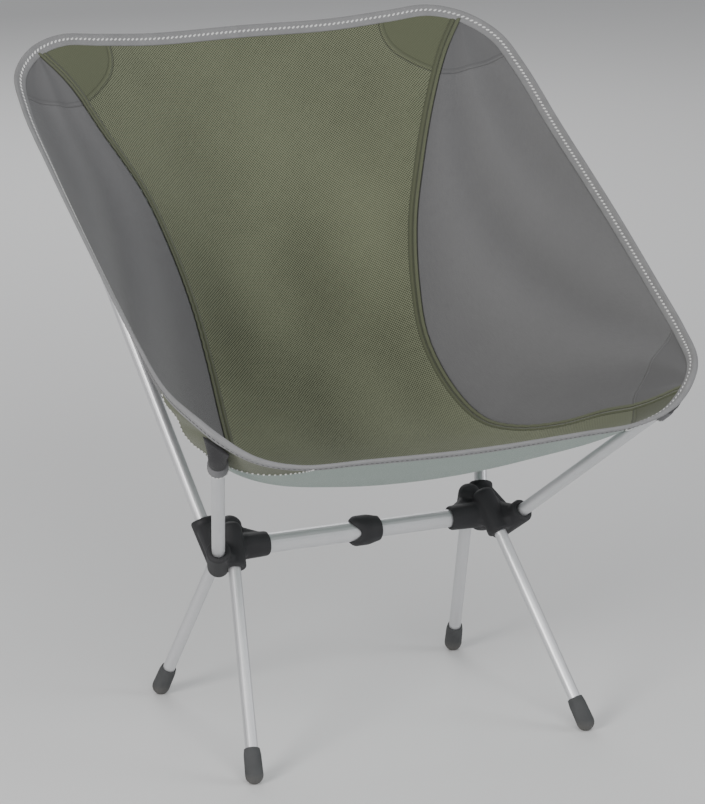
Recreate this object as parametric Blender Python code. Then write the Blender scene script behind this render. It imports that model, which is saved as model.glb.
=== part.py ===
"""Low-back camp chair: a hub-and-pole frame that comes apart, carrying a fabric sling.

Metres, +Z up. The chair faces -Y. The origin is on the floor, under the middle of its box.
Every point below is measured from the floor under the middle of the crossbar, and the empty
named chair_origin carries the whole chair back to the origin.
"""

import math

import bmesh
import bpy
from mathutils import Matrix, Vector

# ---- driving dimensions, metres
CROSSBAR_Y = -0.0140  # the crossbar's line, from the origin
CROSSBAR_Z = 0.187
SIDES = (("left", -1), ("right", 1))

# Tubes
CROSSBAR_WIDE_D = 0.0200  # left half: the other half slides into it
CROSSBAR_SLIM_D = 0.0180
POLE_D = 0.0130
LEG_D = 0.0125
TUBE_WALL = 0.0008
FIT_GAP = 0.00025  # radial room in every socket
FACE_GAP = 0.0004  # room between faces that touch
TUBE_SEGMENTS = 24
CORD_SEGMENTS = 8

# Tube axes, right-hand side: where each one leaves its hub, and its far end
BACK_POLE_MOUTH = Vector((0.1532, 0.0384, 0.2080))
BACK_POLE_TIP = Vector((0.2392, 0.2506, 0.6015))
FRONT_POLE_MOUTH = Vector((0.1655, -0.0340, 0.1973))
FRONT_POLE_TIP = Vector((0.2323, -0.1963, 0.3361))
FRONT_LEG_MOUTH = Vector((0.1446, -0.0243, 0.1735))
FRONT_FOOT = Vector((0.1800, -0.1560, 0.0))
REAR_LEG_MOUTH = Vector((0.1366, 0.0373, 0.1689))
REAR_FOOT = Vector((0.1660, 0.1280, 0.0))
CROSSBAR_MOUTH_X = 0.0988
CROSSBAR_END_X = 0.1265

# Hub
SOCKET_DEPTH = 0.028
CHANNEL_DEPTH = 0.016  # narrow bore past a socket's floor, for the shock cord's knot
CHANNEL_R = 0.0032
SOCKET_R = 0.0123  # outside of a socket at its mouth
SOCKET_ROOT_R = 0.0112
MOUTH_CHAMFER = 0.0015
POLE_BARREL = 0.050  # length of the socket bodies, mouth to root
LEG_BARREL = 0.048
COLLAR_R = 0.0125
COLLAR_ROOT_R = 0.0135
HUB_CORE = Vector((0.1440, 0.0040, 0.1875))
HUB_CORE_R = (0.0155, 0.0190, 0.0195)
HUB_SEGMENTS = 16
CUT_PAST = 0.004  # how far a cutter stands out of a mouth

# Crossbar joint
CROSSBAR_LAP = 0.040  # how far the slim half sits inside the wide one
CROSSBAR_JOINT_X = 0.012  # open end of the wide half
COUPLER_X = -0.0105
COUPLER_LENGTH = 0.032

# Feet, tips and cords
FOOT_R = 0.0090
FOOT_LENGTH = 0.035
FOOT_SLEEVE = 0.0012
FOOT_FLAT_R = 0.0040
PLUG_LENGTH = 0.012
TIP_R = 0.0070
TIP_NECK = 0.0035
TIP_STEM = 0.014
CORD_R = 0.0012
KNOT_R = 0.0025
FERRULE_LENGTH = 0.060
BACK_POLE_SPLIT = 0.235  # from the hub's mouth to the joint between the two sections

# Sling, right half: its edge from back centre to front centre
RIM = (
    (0.000, 0.2920, 0.6405), (0.098, 0.2890, 0.6405), (0.160, 0.2810, 0.6460),
    (0.203, 0.2745, 0.6500), (0.236, 0.2610, 0.6430), (0.262, 0.2350, 0.6255),
    (0.2705, 0.195, 0.5995), (0.2725, 0.118, 0.5535), (0.274, -0.0080, 0.4840),
    (0.2725, -0.104, 0.4305), (0.269, -0.164, 0.4000), (0.257, -0.2100, 0.3830),
    (0.2415, -0.229, 0.3685), (0.214, -0.244, 0.3515), (0.175, -0.2525, 0.3420),
    (0.110, -0.2590, 0.3410), (0.000, -0.2620, 0.3390),
)
SEAM_START = 4  # the rim points where the seam between the panels meets the edge
SEAM_END = 12
SEAM = (
    (0.2095, 0.241, 0.6120), (0.1835, 0.217, 0.5650), (0.1550, 0.181, 0.5090),
    (0.1370, 0.157, 0.4560), (0.1255, 0.127, 0.3990), (0.1220, 0.098, 0.3500),
    (0.1285, 0.051, 0.3080), (0.1400, 0.002, 0.2865), (0.1570, -0.042, 0.2880),
    (0.1830, -0.086, 0.301), (0.2090, -0.125, 0.320), (0.2250, -0.173, 0.3380),
)
# The sling's line along its middle
MIDDLE = (
    (0, 0.2920, 0.6405), (0, 0.2465, 0.553), (0, 0.2080, 0.476), (0, 0.1650, 0.405),
    (0, 0.1150, 0.3450), (0, 0.0550, 0.298), (0, -0.010, 0.2725), (0, -0.075, 0.2665),
    (0, -0.140, 0.2770), (0, -0.203, 0.304), (0, -0.262, 0.3390),
)
CLOTH = 0.0018
EDGE_WIDTH = 0.0135
EDGE_THICKNESS = 0.0036
EDGE_INSET = 0.0085  # the panels end this far inside the rim line
SEAM_INSET = 0.0012
SIDE_BULGE = 0.010
SIDE_CORNER = 0.042  # share of the seam left open at the side panels' pointed corners
SEAT_GRID = (12, 20)
SIDE_GRID = (5, 15)
EDGE_STEPS = 36  # along each half of the edge
SPLINE_STEPS = 10

# Corner pockets: hoods under the sling's corners that sit over the pole tips
POCKET_WALL = 0.0012
POCKET_ROOM = 0.0008
POCKET_LENGTH = 0.022
POCKET_DROP = 0.008
FRONT_POCKET_SLOPE = math.radians(27)
BACK_POCKET_SLOPE = math.radians(46)

# Finishes: linear colour, roughness, metallic
ALUMINIUM = ((0.47, 0.47, 0.48), 0.34, 1.0)
BLACK_NYLON = ((0.031, 0.031, 0.033), 0.45, 0.0)
DARK_RUBBER = ((0.065, 0.066, 0.068), 0.70, 0.0)
MOSS_CLOTH = ((0.115, 0.130, 0.088), 0.85, 0.0)
GREY_CLOTH = ((0.150, 0.150, 0.153), 0.85, 0.0)
GREY_TAPE = ((0.260, 0.260, 0.268), 0.80, 0.0)
BLACK_WEB = ((0.030, 0.031, 0.033), 0.80, 0.0)
CORD_BLACK = ((0.020, 0.020, 0.022), 0.85, 0.0)


def clear_scene():
    for thing in list(bpy.data.objects):
        bpy.data.objects.remove(thing, do_unlink=True)


def make_material(name, colour, roughness, metallic):
    """A Principled material of its own for one sub-part."""
    material = bpy.data.materials.new(name)
    material.use_nodes = True
    shader = material.node_tree.nodes["Principled BSDF"]
    shader.inputs["Base Color"].default_value = (*colour, 1.0)
    shader.inputs["Roughness"].default_value = roughness
    shader.inputs["Metallic"].default_value = metallic
    material.diffuse_color = (*colour, 1.0)
    return material


def add_object(name, bm, finish, parent, matrix=Matrix.Identity(4)):
    """Turns the bmesh into a named object with its own material, under its parent."""
    bmesh.ops.recalc_face_normals(bm, faces=bm.faces)
    mesh = bpy.data.meshes.new(name)
    bm.to_mesh(mesh)
    bm.free()
    mesh.shade_smooth()
    mesh.set_sharp_from_angle(angle=math.radians(35))
    mesh.materials.append(make_material(name, *finish))
    thing = bpy.data.objects.new(name, mesh)
    bpy.context.scene.collection.objects.link(thing)
    thing.parent = parent
    thing.matrix_local = matrix
    return thing


def boolean(thing, operation, name, bm, matrix):
    """Adds or cuts a shape with a hidden guide object."""
    guide = add_object(name, bm, BLACK_NYLON, thing.parent, matrix)
    guide.hide_render = True
    guide.display_type = "WIRE"
    modifier = thing.modifiers.new(name, "BOOLEAN")
    modifier.operation = operation
    modifier.solver = "EXACT"
    modifier.object = guide


def mirrored(point, side):
    return Vector((point[0] * side, point[1], point[2]))


def placed(start, direction):
    """Matrix that puts local Z along a direction, with the origin at start."""
    turn = Vector(direction).to_track_quat("Z", "Y").to_matrix().to_4x4()
    return Matrix.Translation(start) @ turn


# ---- turned shapes

def spun(profile, segments, closed):
    """Solid of revolution about Z from (radius, height) points; closed profiles make rings."""
    bm = bmesh.new()
    ring = [bm.verts.new((radius, 0.0, height)) for radius, height in profile]
    edges = [bm.edges.new(pair) for pair in zip(ring, ring[1:])]
    if closed:
        edges.append(bm.edges.new((ring[-1], ring[0])))
    bmesh.ops.spin(
        bm, geom=ring + edges, cent=(0, 0, 0), axis=(0, 0, 1), angle=math.tau,
        steps=segments, use_merge=True, use_duplicate=False,
    )
    bmesh.ops.remove_doubles(bm, verts=bm.verts, dist=1e-6)
    return bm


def tube(outer_r, length):
    inner_r = outer_r - TUBE_WALL
    profile = [(inner_r, 0.0), (outer_r, 0.0), (outer_r, length), (inner_r, length)]
    return spun(profile, TUBE_SEGMENTS, closed=True)


def solid(profile, segments):
    """Solid of revolution, closed on the axis at the heights of its first and last points."""
    first, last = profile[0], profile[-1]
    start = [(0.0, first[1])] if first[0] > 0 else []
    end = [(0.0, last[1])] if last[0] > 0 else []
    return spun(start + list(profile) + end, segments, closed=False)


def arc(centre_r, centre_height, radius, start_deg, end_deg, steps):
    """(radius, height) points of an arc; 0 degrees points outwards and 90 degrees up."""
    points = []
    for i in range(steps + 1):
        angle = math.radians(start_deg + (end_deg - start_deg) * i / steps)
        across = centre_r + radius * math.cos(angle)
        points.append((max(across, 0.0), centre_height + radius * math.sin(angle)))
    return points


# ---- frame

def barrel(length, mouth_r, root_r):
    """Socket body from its rounded root at z = -length to its chamfered mouth at z = 0."""
    corner = root_r * 0.6
    root = arc(root_r - corner, corner - length, corner, -90, 0, 3)
    mouth = [(mouth_r, -MOUTH_CHAMFER), (mouth_r - MOUTH_CHAMFER, 0.0)]
    return solid(root + mouth, HUB_SEGMENTS)


def bore(radius, depth):
    return solid([(radius, -depth), (radius, CUT_PAST)], TUBE_SEGMENTS)


def socket_bore(radius):
    """Bore for a tube, with the narrow channel for its cord past the floor."""
    profile = [
        (CHANNEL_R, -SOCKET_DEPTH - CHANNEL_DEPTH), (CHANNEL_R, -SOCKET_DEPTH),
        (radius, -SOCKET_DEPTH), (radius, CUT_PAST),
    ]
    return solid(profile, TUBE_SEGMENTS)


def build_hub(name, side, parent):
    """Moulded hub: four sloping sockets round a core, and a collar for the crossbar."""
    core = bmesh.new()
    bmesh.ops.create_uvsphere(core, u_segments=16, v_segments=10, radius=1.0)
    bmesh.ops.scale(core, vec=HUB_CORE_R, verts=core.verts)
    centre = Matrix.Translation(mirrored(HUB_CORE, side))
    hub = add_object(name, core, BLACK_NYLON, parent, centre)

    crossbar_d = CROSSBAR_WIDE_D if side < 0 else CROSSBAR_SLIM_D
    collar_depth = CROSSBAR_END_X - CROSSBAR_MOUTH_X
    collar_at = placed((CROSSBAR_MOUTH_X * side, 0, CROSSBAR_Z), (-side, 0, 0))
    added = [("collar", barrel(collar_depth + 0.012, COLLAR_R, COLLAR_ROOT_R), collar_at)]
    cut = [("crossbar_bore", bore(crossbar_d / 2 + FIT_GAP, collar_depth), collar_at)]
    for label, mouth, end, length, diameter in (
        ("back_pole", BACK_POLE_MOUTH, BACK_POLE_TIP, POLE_BARREL, POLE_D),
        ("front_pole", FRONT_POLE_MOUTH, FRONT_POLE_TIP, POLE_BARREL, POLE_D),
        ("front_leg", FRONT_LEG_MOUTH, FRONT_FOOT, LEG_BARREL, LEG_D),
        ("rear_leg", REAR_LEG_MOUTH, REAR_FOOT, LEG_BARREL, LEG_D),
    ):
        at = placed(mirrored(mouth, side), mirrored(end - mouth, side))
        added.append((f"{label}_body", barrel(length, SOCKET_R, SOCKET_ROOT_R), at))
        cut.append((f"{label}_bore", socket_bore(diameter / 2 + FIT_GAP), at))
    for operation, shapes in (("UNION", added), ("DIFFERENCE", cut)):
        for label, bm, at in shapes:
            boolean(hub, operation, f"{name}.{label}", bm, at)


def build_crossbar(parent):
    """Two telescoping tubes, the moulded collar where they meet, and the cord inside them."""
    inner_x = CROSSBAR_END_X - FACE_GAP
    at = placed((-inner_x, 0, CROSSBAR_Z), (1, 0, 0))
    wide = tube(CROSSBAR_WIDE_D / 2, inner_x + CROSSBAR_JOINT_X)
    add_object("crossbar_left_tube", wide, ALUMINIUM, parent, at)
    cord = solid([(CORD_R, 0.0), (CORD_R, 2 * inner_x)], CORD_SEGMENTS)
    add_object("crossbar_cord", cord, CORD_BLACK, parent, at)

    slim = tube(CROSSBAR_SLIM_D / 2, inner_x - CROSSBAR_JOINT_X + CROSSBAR_LAP)
    at = placed((inner_x, 0, CROSSBAR_Z), (-1, 0, 0))
    add_object("crossbar_right_tube", slim, ALUMINIUM, parent, at)

    wide_r = CROSSBAR_WIDE_D / 2 + FIT_GAP
    slim_r = CROSSBAR_SLIM_D / 2 + FIT_GAP
    step = CROSSBAR_JOINT_X - COUPLER_X + FACE_GAP
    outline = [
        (wide_r, 0.0), (0.0115, 0.0), (0.0149, 0.0048), (0.0156, 0.0080), (0.0156, 0.0135),
        (0.0148, 0.0185), (0.0130, 0.0245), (0.0106, COUPLER_LENGTH),
        (slim_r, COUPLER_LENGTH), (slim_r, step), (wide_r, step),
    ]
    coupler = spun(outline, TUBE_SEGMENTS, closed=True)
    at = placed((COUPLER_X, 0, CROSSBAR_Z), (1, 0, 0))
    add_object("crossbar_coupler", coupler, BLACK_NYLON, parent, at)


def build_cord(name, tube_start, direction, length, parent):
    """Shock cord from the knot in its hub's channel to the far end of its tube."""
    knot = arc(0.0, KNOT_R, KNOT_R, -90, 60, 5)
    profile = knot + [(CORD_R, 2 * KNOT_R), (CORD_R, length + CHANNEL_DEPTH)]
    at = placed(tube_start - direction * CHANNEL_DEPTH, direction)
    add_object(name, solid(profile, CORD_SEGMENTS), CORD_BLACK, parent, at)


def socket_floor(mouth, direction):
    """Where a tube's end stands in its socket."""
    return mouth - direction * (SOCKET_DEPTH - FACE_GAP)


def build_leg(name, mouth, foot, side, parent):
    """One leg: tube, end plug, rubber foot with a small flat on the floor, and its cord."""
    mouth, foot = mirrored(mouth, side), mirrored(foot, side)
    direction = (foot - mouth).normalized()
    start = socket_floor(mouth, direction)
    ball_height = math.sqrt(FOOT_R ** 2 - FOOT_FLAT_R ** 2)
    ball = foot + direction * (ball_height / direction.z)
    length = (ball - start).length - FACE_GAP
    add_object(f"{name}_tube", tube(LEG_D / 2, length), ALUMINIUM, parent, placed(start, direction))

    plug_r = LEG_D / 2 - TUBE_WALL - FIT_GAP
    plug = solid([(plug_r, 0.0), (plug_r, PLUG_LENGTH)], TUBE_SEGMENTS)
    at = placed(start + direction * (length - PLUG_LENGTH), direction)
    add_object(f"{name}_end_plug", plug, BLACK_NYLON, parent, at)

    sleeve_r = LEG_D / 2 + FIT_GAP
    open_end = FOOT_R - FOOT_LENGTH
    outline = [(sleeve_r, 0.0), (sleeve_r, open_end), (sleeve_r + FOOT_SLEEVE, open_end)]
    outline += [(FOOT_R - 0.0004, open_end + 0.006)] + arc(0.0, 0.0, FOOT_R, 0, 90, 5)
    cap = solid(outline, TUBE_SEGMENTS)
    foot_cap = add_object(f"{name}_foot_cap", cap, DARK_RUBBER, parent, placed(ball, direction))
    floor = bmesh.new()
    bmesh.ops.create_cube(floor, size=6 * FOOT_R)
    below = Matrix.Translation((ball.x, ball.y, -3 * FOOT_R))
    boolean(foot_cap, "DIFFERENCE", f"{name}.floor", floor, below)

    build_cord(f"{name}_cord", start, direction, length - PLUG_LENGTH - FACE_GAP, parent)


def build_tip(name, tip, direction, parent):
    """Moulded pole tip: a stem inside the tube and a ball end."""
    stem_r = POLE_D / 2 - TUBE_WALL - FIT_GAP
    profile = [(stem_r, -TIP_STEM), (stem_r, FACE_GAP), (TIP_R - 0.0005, FACE_GAP)]
    profile += arc(0.0, TIP_NECK, TIP_R, -16, 90, 4)
    at = placed(tip - direction * TIP_NECK, direction)
    add_object(name, solid(profile, TUBE_SEGMENTS), BLACK_NYLON, parent, at)


def build_front_pole(label, side, parent):
    mouth, tip = mirrored(FRONT_POLE_MOUTH, side), mirrored(FRONT_POLE_TIP, side)
    direction = (tip - mouth).normalized()
    start = socket_floor(mouth, direction)
    length = (tip - start).length - TIP_NECK
    pole = tube(POLE_D / 2, length)
    add_object(f"front_pole_{label}", pole, ALUMINIUM, parent, placed(start, direction))
    build_tip(f"front_pole_tip_{label}", tip, direction, parent)
    cord_length = length - TIP_STEM - FACE_GAP
    build_cord(f"front_pole_cord_{label}", start, direction, cord_length, parent)


def build_back_pole(label, side, parent):
    """Back pole in two sections, joined by a ferrule that stays in the lower one."""
    mouth, tip = mirrored(BACK_POLE_MOUTH, side), mirrored(BACK_POLE_TIP, side)
    direction = (tip - mouth).normalized()
    start = socket_floor(mouth, direction)
    split = mouth + direction * BACK_POLE_SPLIT
    end = tip - direction * TIP_NECK
    lower = tube(POLE_D / 2, (split - start).length - FACE_GAP)
    add_object(f"back_pole_lower_{label}", lower, ALUMINIUM, parent, placed(start, direction))
    upper = tube(POLE_D / 2, (end - split).length)
    add_object(f"back_pole_upper_{label}", upper, ALUMINIUM, parent, placed(split, direction))
    ferrule = tube(POLE_D / 2 - TUBE_WALL - FIT_GAP, FERRULE_LENGTH)
    at = placed(split - direction * FERRULE_LENGTH / 2, direction)
    add_object(f"back_pole_ferrule_{label}", ferrule, ALUMINIUM, parent, at)
    build_tip(f"back_pole_tip_{label}", tip, direction, parent)
    cord_length = (end - start).length - TIP_STEM - FACE_GAP
    build_cord(f"back_pole_cord_{label}", start, direction, cord_length, parent)


# ---- sling

class Line:
    """A smooth line through points, read by its share of the length from 0 to 1."""

    def __init__(self, points):
        self.points = points
        self.reach = [0.0]
        for a, b in zip(points, points[1:]):
            self.reach.append(self.reach[-1] + (b - a).length)
        self.length = self.reach[-1]

    def at(self, share):
        want = min(max(share, 0.0), 1.0) * self.length
        i = 0
        while i < len(self.points) - 2 and self.reach[i + 1] < want:
            i += 1
        span = self.reach[i + 1] - self.reach[i]
        return self.points[i].lerp(self.points[i + 1], (want - self.reach[i]) / span)

    def direction(self, share):
        return (self.at(share + 0.01) - self.at(share - 0.01)).normalized()


def catmull_rom(before, start, end, after, share):
    """Point on a centripetal Catmull-Rom span, which doesn't overshoot uneven points."""
    knots = [0.0]
    corners = (before, start, end, after)
    for a, b in zip(corners, corners[1:]):
        knots.append(knots[-1] + math.sqrt((b - a).length))
    t = knots[1] + (knots[2] - knots[1]) * share
    level = list(corners)
    for width in (1, 2, 3):
        for i in range(4 - width):
            low, high = knots[i], knots[i + width]
            if width == 3:
                low, high = knots[1], knots[2]
            level[i] = level[i].lerp(level[i + 1], (t - low) / (high - low))
    return level[0]


def smooth_points(points, mirrored_ends):
    """Points along a smooth curve through the given ones. Mirrored ends cross X = 0 squarely."""
    points = [Vector(p) for p in points]
    if mirrored_ends:
        ends = (mirrored(points[1], -1), mirrored(points[-2], -1))
    else:
        ends = (2 * points[0] - points[1], 2 * points[-1] - points[-2])
    line = [ends[0]] + points + [ends[1]]
    result = []
    for i in range(1, len(line) - 2):
        for step in range(SPLINE_STEPS):
            result.append(catmull_rom(*line[i - 1:i + 3], step / SPLINE_STEPS))
    return result + [points[-1]]


RIM_POINTS = smooth_points(RIM, mirrored_ends=True)
BACK_CORNER = SEAM_START * SPLINE_STEPS
FRONT_CORNER = SEAM_END * SPLINE_STEPS
TOP_EDGE = Line(RIM_POINTS[:BACK_CORNER + 1])
SIDE_EDGE = Line(RIM_POINTS[BACK_CORNER:FRONT_CORNER + 1])
FRONT_EDGE = Line(RIM_POINTS[:FRONT_CORNER - 1:-1])
SEAM_LINE = Line(smooth_points((RIM[SEAM_START],) + SEAM + (RIM[SEAM_END],), False))
MIDDLE_LINE = Line(smooth_points(MIDDLE, False))


def hung(u, v):
    """Point of the middle panel before its ends are fitted to the sling's edge."""
    middle, seam = MIDDLE_LINE.at(v), SEAM_LINE.at(v)
    point = middle.lerp(seam, u * u)
    point.x = seam.x * u
    return point


def seat_point(u, v):
    """Middle panel: u from -1 to 1 across, v from the top edge to the front edge."""
    a = abs(u)
    top_miss = TOP_EDGE.at(a) - hung(a, 0.0)
    front_miss = FRONT_EDGE.at(a) - hung(a, 1.0)
    point = hung(a, v) + top_miss * (1 - v) ** 3 + front_miss * v ** 3
    return mirrored(point, -1 if u < 0 else 1)


def side_point(w, v):
    """Right side panel: w from the seam to the edge, v from the back to the front."""
    seam, rim = SEAM_LINE.at(v), SIDE_EDGE.at(v)
    outward = SIDE_EDGE.direction(v).cross(rim - seam).normalized()
    if outward.x < 0:
        outward.negate()
    swell = SIDE_BULGE * 4 * w * (1 - w) * math.sin(math.pi * v)
    return seam.lerp(rim, w) + outward * swell


def sheet(rows):
    """Grid of faces through rows of points."""
    bm = bmesh.new()
    grid = [[bm.verts.new(p) for p in row] for row in rows]
    for a, b in zip(grid, grid[1:]):
        for i in range(len(a) - 1):
            bm.faces.new((a[i], a[i + 1], b[i + 1], b[i]))
    return bm


def add_cloth(name, bm, thickness, finish, parent, matrix=Matrix.Identity(4)):
    cloth = add_object(name, bm, finish, parent, matrix)
    thicken = cloth.modifiers.new("cloth", "SOLIDIFY")
    thicken.thickness = thickness
    thicken.offset = 0.0


def spread(low, high, steps):
    return [low + (high - low) * i / steps for i in range(steps + 1)]


def build_seat_panel(parent):
    across, along = SEAT_GRID
    inset = EDGE_INSET / MIDDLE_LINE.length
    rows = []
    for v in spread(inset, 1 - inset, along):
        reach = 1 - SEAM_INSET / SEAM_LINE.at(v).x
        rows.append([seat_point(u, v) for u in spread(-reach, reach, across)])
    add_cloth("seat_panel", sheet(rows), CLOTH, MOSS_CLOTH, parent)


def build_side_panel(label, side, parent):
    across, along = SIDE_GRID
    rows = []
    for v in spread(SIDE_CORNER, 1 - SIDE_CORNER, along):
        width = (SIDE_EDGE.at(v) - SEAM_LINE.at(v)).length
        inner, outer = SEAM_INSET / width, 1 - EDGE_INSET / width
        rows.append([mirrored(side_point(w, v), side) for w in spread(inner, outer, across)])
    add_cloth(f"side_panel_{label}", sheet(rows), CLOTH, GREY_CLOTH, parent)


def edge_frames():
    """(point, inward direction) along the right half of the sling's edge."""
    total = TOP_EDGE.length + SIDE_EDGE.length + FRONT_EDGE.length
    near = 0.02
    frames = []
    for i in range(EDGE_STEPS + 1):
        reach = total * i / EDGE_STEPS
        if reach <= TOP_EDGE.length:
            share = reach / TOP_EDGE.length
            point, inner = TOP_EDGE.at(share), seat_point(share, near)
        elif reach <= TOP_EDGE.length + SIDE_EDGE.length:
            share = (reach - TOP_EDGE.length) / SIDE_EDGE.length
            point, inner = SIDE_EDGE.at(share), side_point(1 - 4 * near, share)
        else:
            share = (total - reach) / FRONT_EDGE.length
            point, inner = FRONT_EDGE.at(share), seat_point(share, 1 - near)
        frames.append((point, (inner - point).normalized()))
    return frames


def build_edge_binding(parent):
    """The tape sewn round the sling's whole edge, as one closed flat band."""
    half = edge_frames()
    other = [(mirrored(p, -1), mirrored(n, -1)) for p, n in half[-2:0:-1]]
    frames = half + other
    count = len(frames)
    wide, thick = EDGE_WIDTH / 2, EDGE_THICKNESS / 2
    section = (
        (wide, 0), (wide * 0.7, thick), (-wide * 0.7, thick),
        (-wide, 0), (-wide * 0.7, -thick), (wide * 0.7, -thick),
    )
    bm = bmesh.new()
    rings = []
    for i, (point, inward) in enumerate(frames):
        tangent = (frames[(i + 1) % count][0] - frames[i - 1][0]).normalized()
        inward = (inward - tangent * inward.dot(tangent)).normalized()
        normal = tangent.cross(inward)
        rings.append([bm.verts.new(point + inward * a + normal * b) for a, b in section])
    for i, ring in enumerate(rings):
        following = rings[(i + 1) % count]
        for j in range(len(section)):
            k = (j + 1) % len(section)
            bm.faces.new((ring[j], ring[k], following[k], following[j]))
    add_object("edge_binding", bm, GREY_TAPE, parent)


def build_pocket(name, mouth, tip, slope, side, parent):
    """Domed hood over a pole tip, open below and towards the hub, so it lifts straight off."""
    up = Vector((0, 0, 1))
    pole_way = Vector(((tip.x - mouth.x) * side, tip.y - mouth.y, 0)).normalized()
    forward = pole_way * math.cos(slope) + up * math.sin(slope)
    across = up.cross(pole_way)
    turn = Matrix((forward, across, forward.cross(across))).transposed().to_4x4()
    radius = TIP_R + POCKET_ROOM + POCKET_WALL / 2
    wall = [(radius, -POCKET_DROP)] + arc(0.0, 0.0, radius, 0, 90, 4)
    stations = [(0.0, angle) for angle in spread(-90, 90, 8)]
    rows = []
    for back, angle in [(-POCKET_LENGTH, -90)] + stations + [(-POCKET_LENGTH, 90)]:
        c, s = math.cos(math.radians(angle)), math.sin(math.radians(angle))
        rows.append([Vector((back + r * c, r * s, height)) for r, height in wall])
    hood = sheet(rows)
    bmesh.ops.remove_doubles(hood, verts=hood.verts, dist=1e-6)
    at = Matrix.Translation(mirrored(tip, side)) @ turn
    add_cloth(name, hood, POCKET_WALL, BLACK_WEB, parent, at)


def build_chair():
    clear_scene()
    origin = bpy.data.objects.new("chair_origin", None)
    bpy.context.scene.collection.objects.link(origin)
    origin.location = (0, CROSSBAR_Y, 0)
    build_crossbar(origin)
    build_seat_panel(origin)
    build_edge_binding(origin)
    for label, side in SIDES:
        build_hub(f"{label}_hub", side, origin)
        build_leg(f"front_leg_{label}", FRONT_LEG_MOUTH, FRONT_FOOT, side, origin)
        build_leg(f"rear_leg_{label}", REAR_LEG_MOUTH, REAR_FOOT, side, origin)
        build_front_pole(label, side, origin)
        build_back_pole(label, side, origin)
        build_side_panel(label, side, origin)
        build_pocket(
            f"front_pocket_{label}", FRONT_POLE_MOUTH, FRONT_POLE_TIP, FRONT_POCKET_SLOPE,
            side, origin,
        )
        build_pocket(
            f"back_pocket_{label}", BACK_POLE_MOUTH, BACK_POLE_TIP, BACK_POCKET_SLOPE,
            side, origin,
        )


build_chair()
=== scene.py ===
import math

import bmesh
import bpy
import numpy as np
from mathutils import Matrix, Vector


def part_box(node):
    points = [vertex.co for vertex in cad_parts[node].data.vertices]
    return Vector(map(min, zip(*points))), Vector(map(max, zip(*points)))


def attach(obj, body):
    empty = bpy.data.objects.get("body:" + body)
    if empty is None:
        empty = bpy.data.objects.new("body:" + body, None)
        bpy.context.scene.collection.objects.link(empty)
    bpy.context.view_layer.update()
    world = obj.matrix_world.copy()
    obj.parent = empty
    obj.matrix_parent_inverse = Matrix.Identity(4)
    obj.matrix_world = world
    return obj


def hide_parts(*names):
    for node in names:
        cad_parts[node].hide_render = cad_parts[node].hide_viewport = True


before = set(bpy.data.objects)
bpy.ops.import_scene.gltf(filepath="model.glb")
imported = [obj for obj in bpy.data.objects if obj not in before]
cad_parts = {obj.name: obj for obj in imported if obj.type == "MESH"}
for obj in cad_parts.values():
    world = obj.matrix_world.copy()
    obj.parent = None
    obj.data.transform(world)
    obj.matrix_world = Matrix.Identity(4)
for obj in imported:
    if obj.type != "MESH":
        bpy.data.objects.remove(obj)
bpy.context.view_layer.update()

# ---- places taken from the frame, metres
COUPLER_LOW, COUPLER_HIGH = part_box("crossbar_coupler")
CROSSBAR_Y = (COUPLER_LOW[1] + COUPLER_HIGH[1]) / 2
CROSSBAR_Z = (COUPLER_LOW[2] + COUPLER_HIGH[2]) / 2
SIDES = (("left", -1), ("right", 1))

# ---- the sling's lines, right half, as the frame has them, from the crossbar's line
RIM = (
    (0.000, 0.2920, 0.6405), (0.098, 0.2890, 0.6405), (0.160, 0.2810, 0.6460),
    (0.203, 0.2745, 0.6500), (0.236, 0.2610, 0.6430), (0.262, 0.2350, 0.6255),
    (0.2705, 0.195, 0.5995), (0.2725, 0.118, 0.5535), (0.274, -0.0080, 0.4840),
    (0.2725, -0.104, 0.4305), (0.269, -0.164, 0.4000), (0.257, -0.2100, 0.3830),
    (0.2415, -0.229, 0.3685), (0.214, -0.244, 0.3515), (0.175, -0.2525, 0.3420),
    (0.110, -0.2590, 0.3410), (0.000, -0.2620, 0.3390),
)
SEAM_START = 4
SEAM_END = 12
SEAM = (
    (0.2095, 0.241, 0.6120), (0.1835, 0.217, 0.5650), (0.1550, 0.181, 0.5090),
    (0.1370, 0.157, 0.4560), (0.1255, 0.127, 0.3990), (0.1220, 0.098, 0.3500),
    (0.1285, 0.051, 0.3080), (0.1400, 0.002, 0.2865), (0.1570, -0.042, 0.2880),
    (0.1830, -0.086, 0.301), (0.2090, -0.125, 0.320), (0.2250, -0.173, 0.3380),
)
MIDDLE = (
    (0, 0.2920, 0.6405), (0, 0.2465, 0.553), (0, 0.2080, 0.476), (0, 0.1650, 0.405),
    (0, 0.1150, 0.3450), (0, 0.0550, 0.298), (0, -0.010, 0.2725), (0, -0.075, 0.2665),
    (0, -0.140, 0.2770), (0, -0.203, 0.304), (0, -0.262, 0.3390),
)
SIDE_BULGE = 0.010
SPLINE_STEPS = 16

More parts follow.
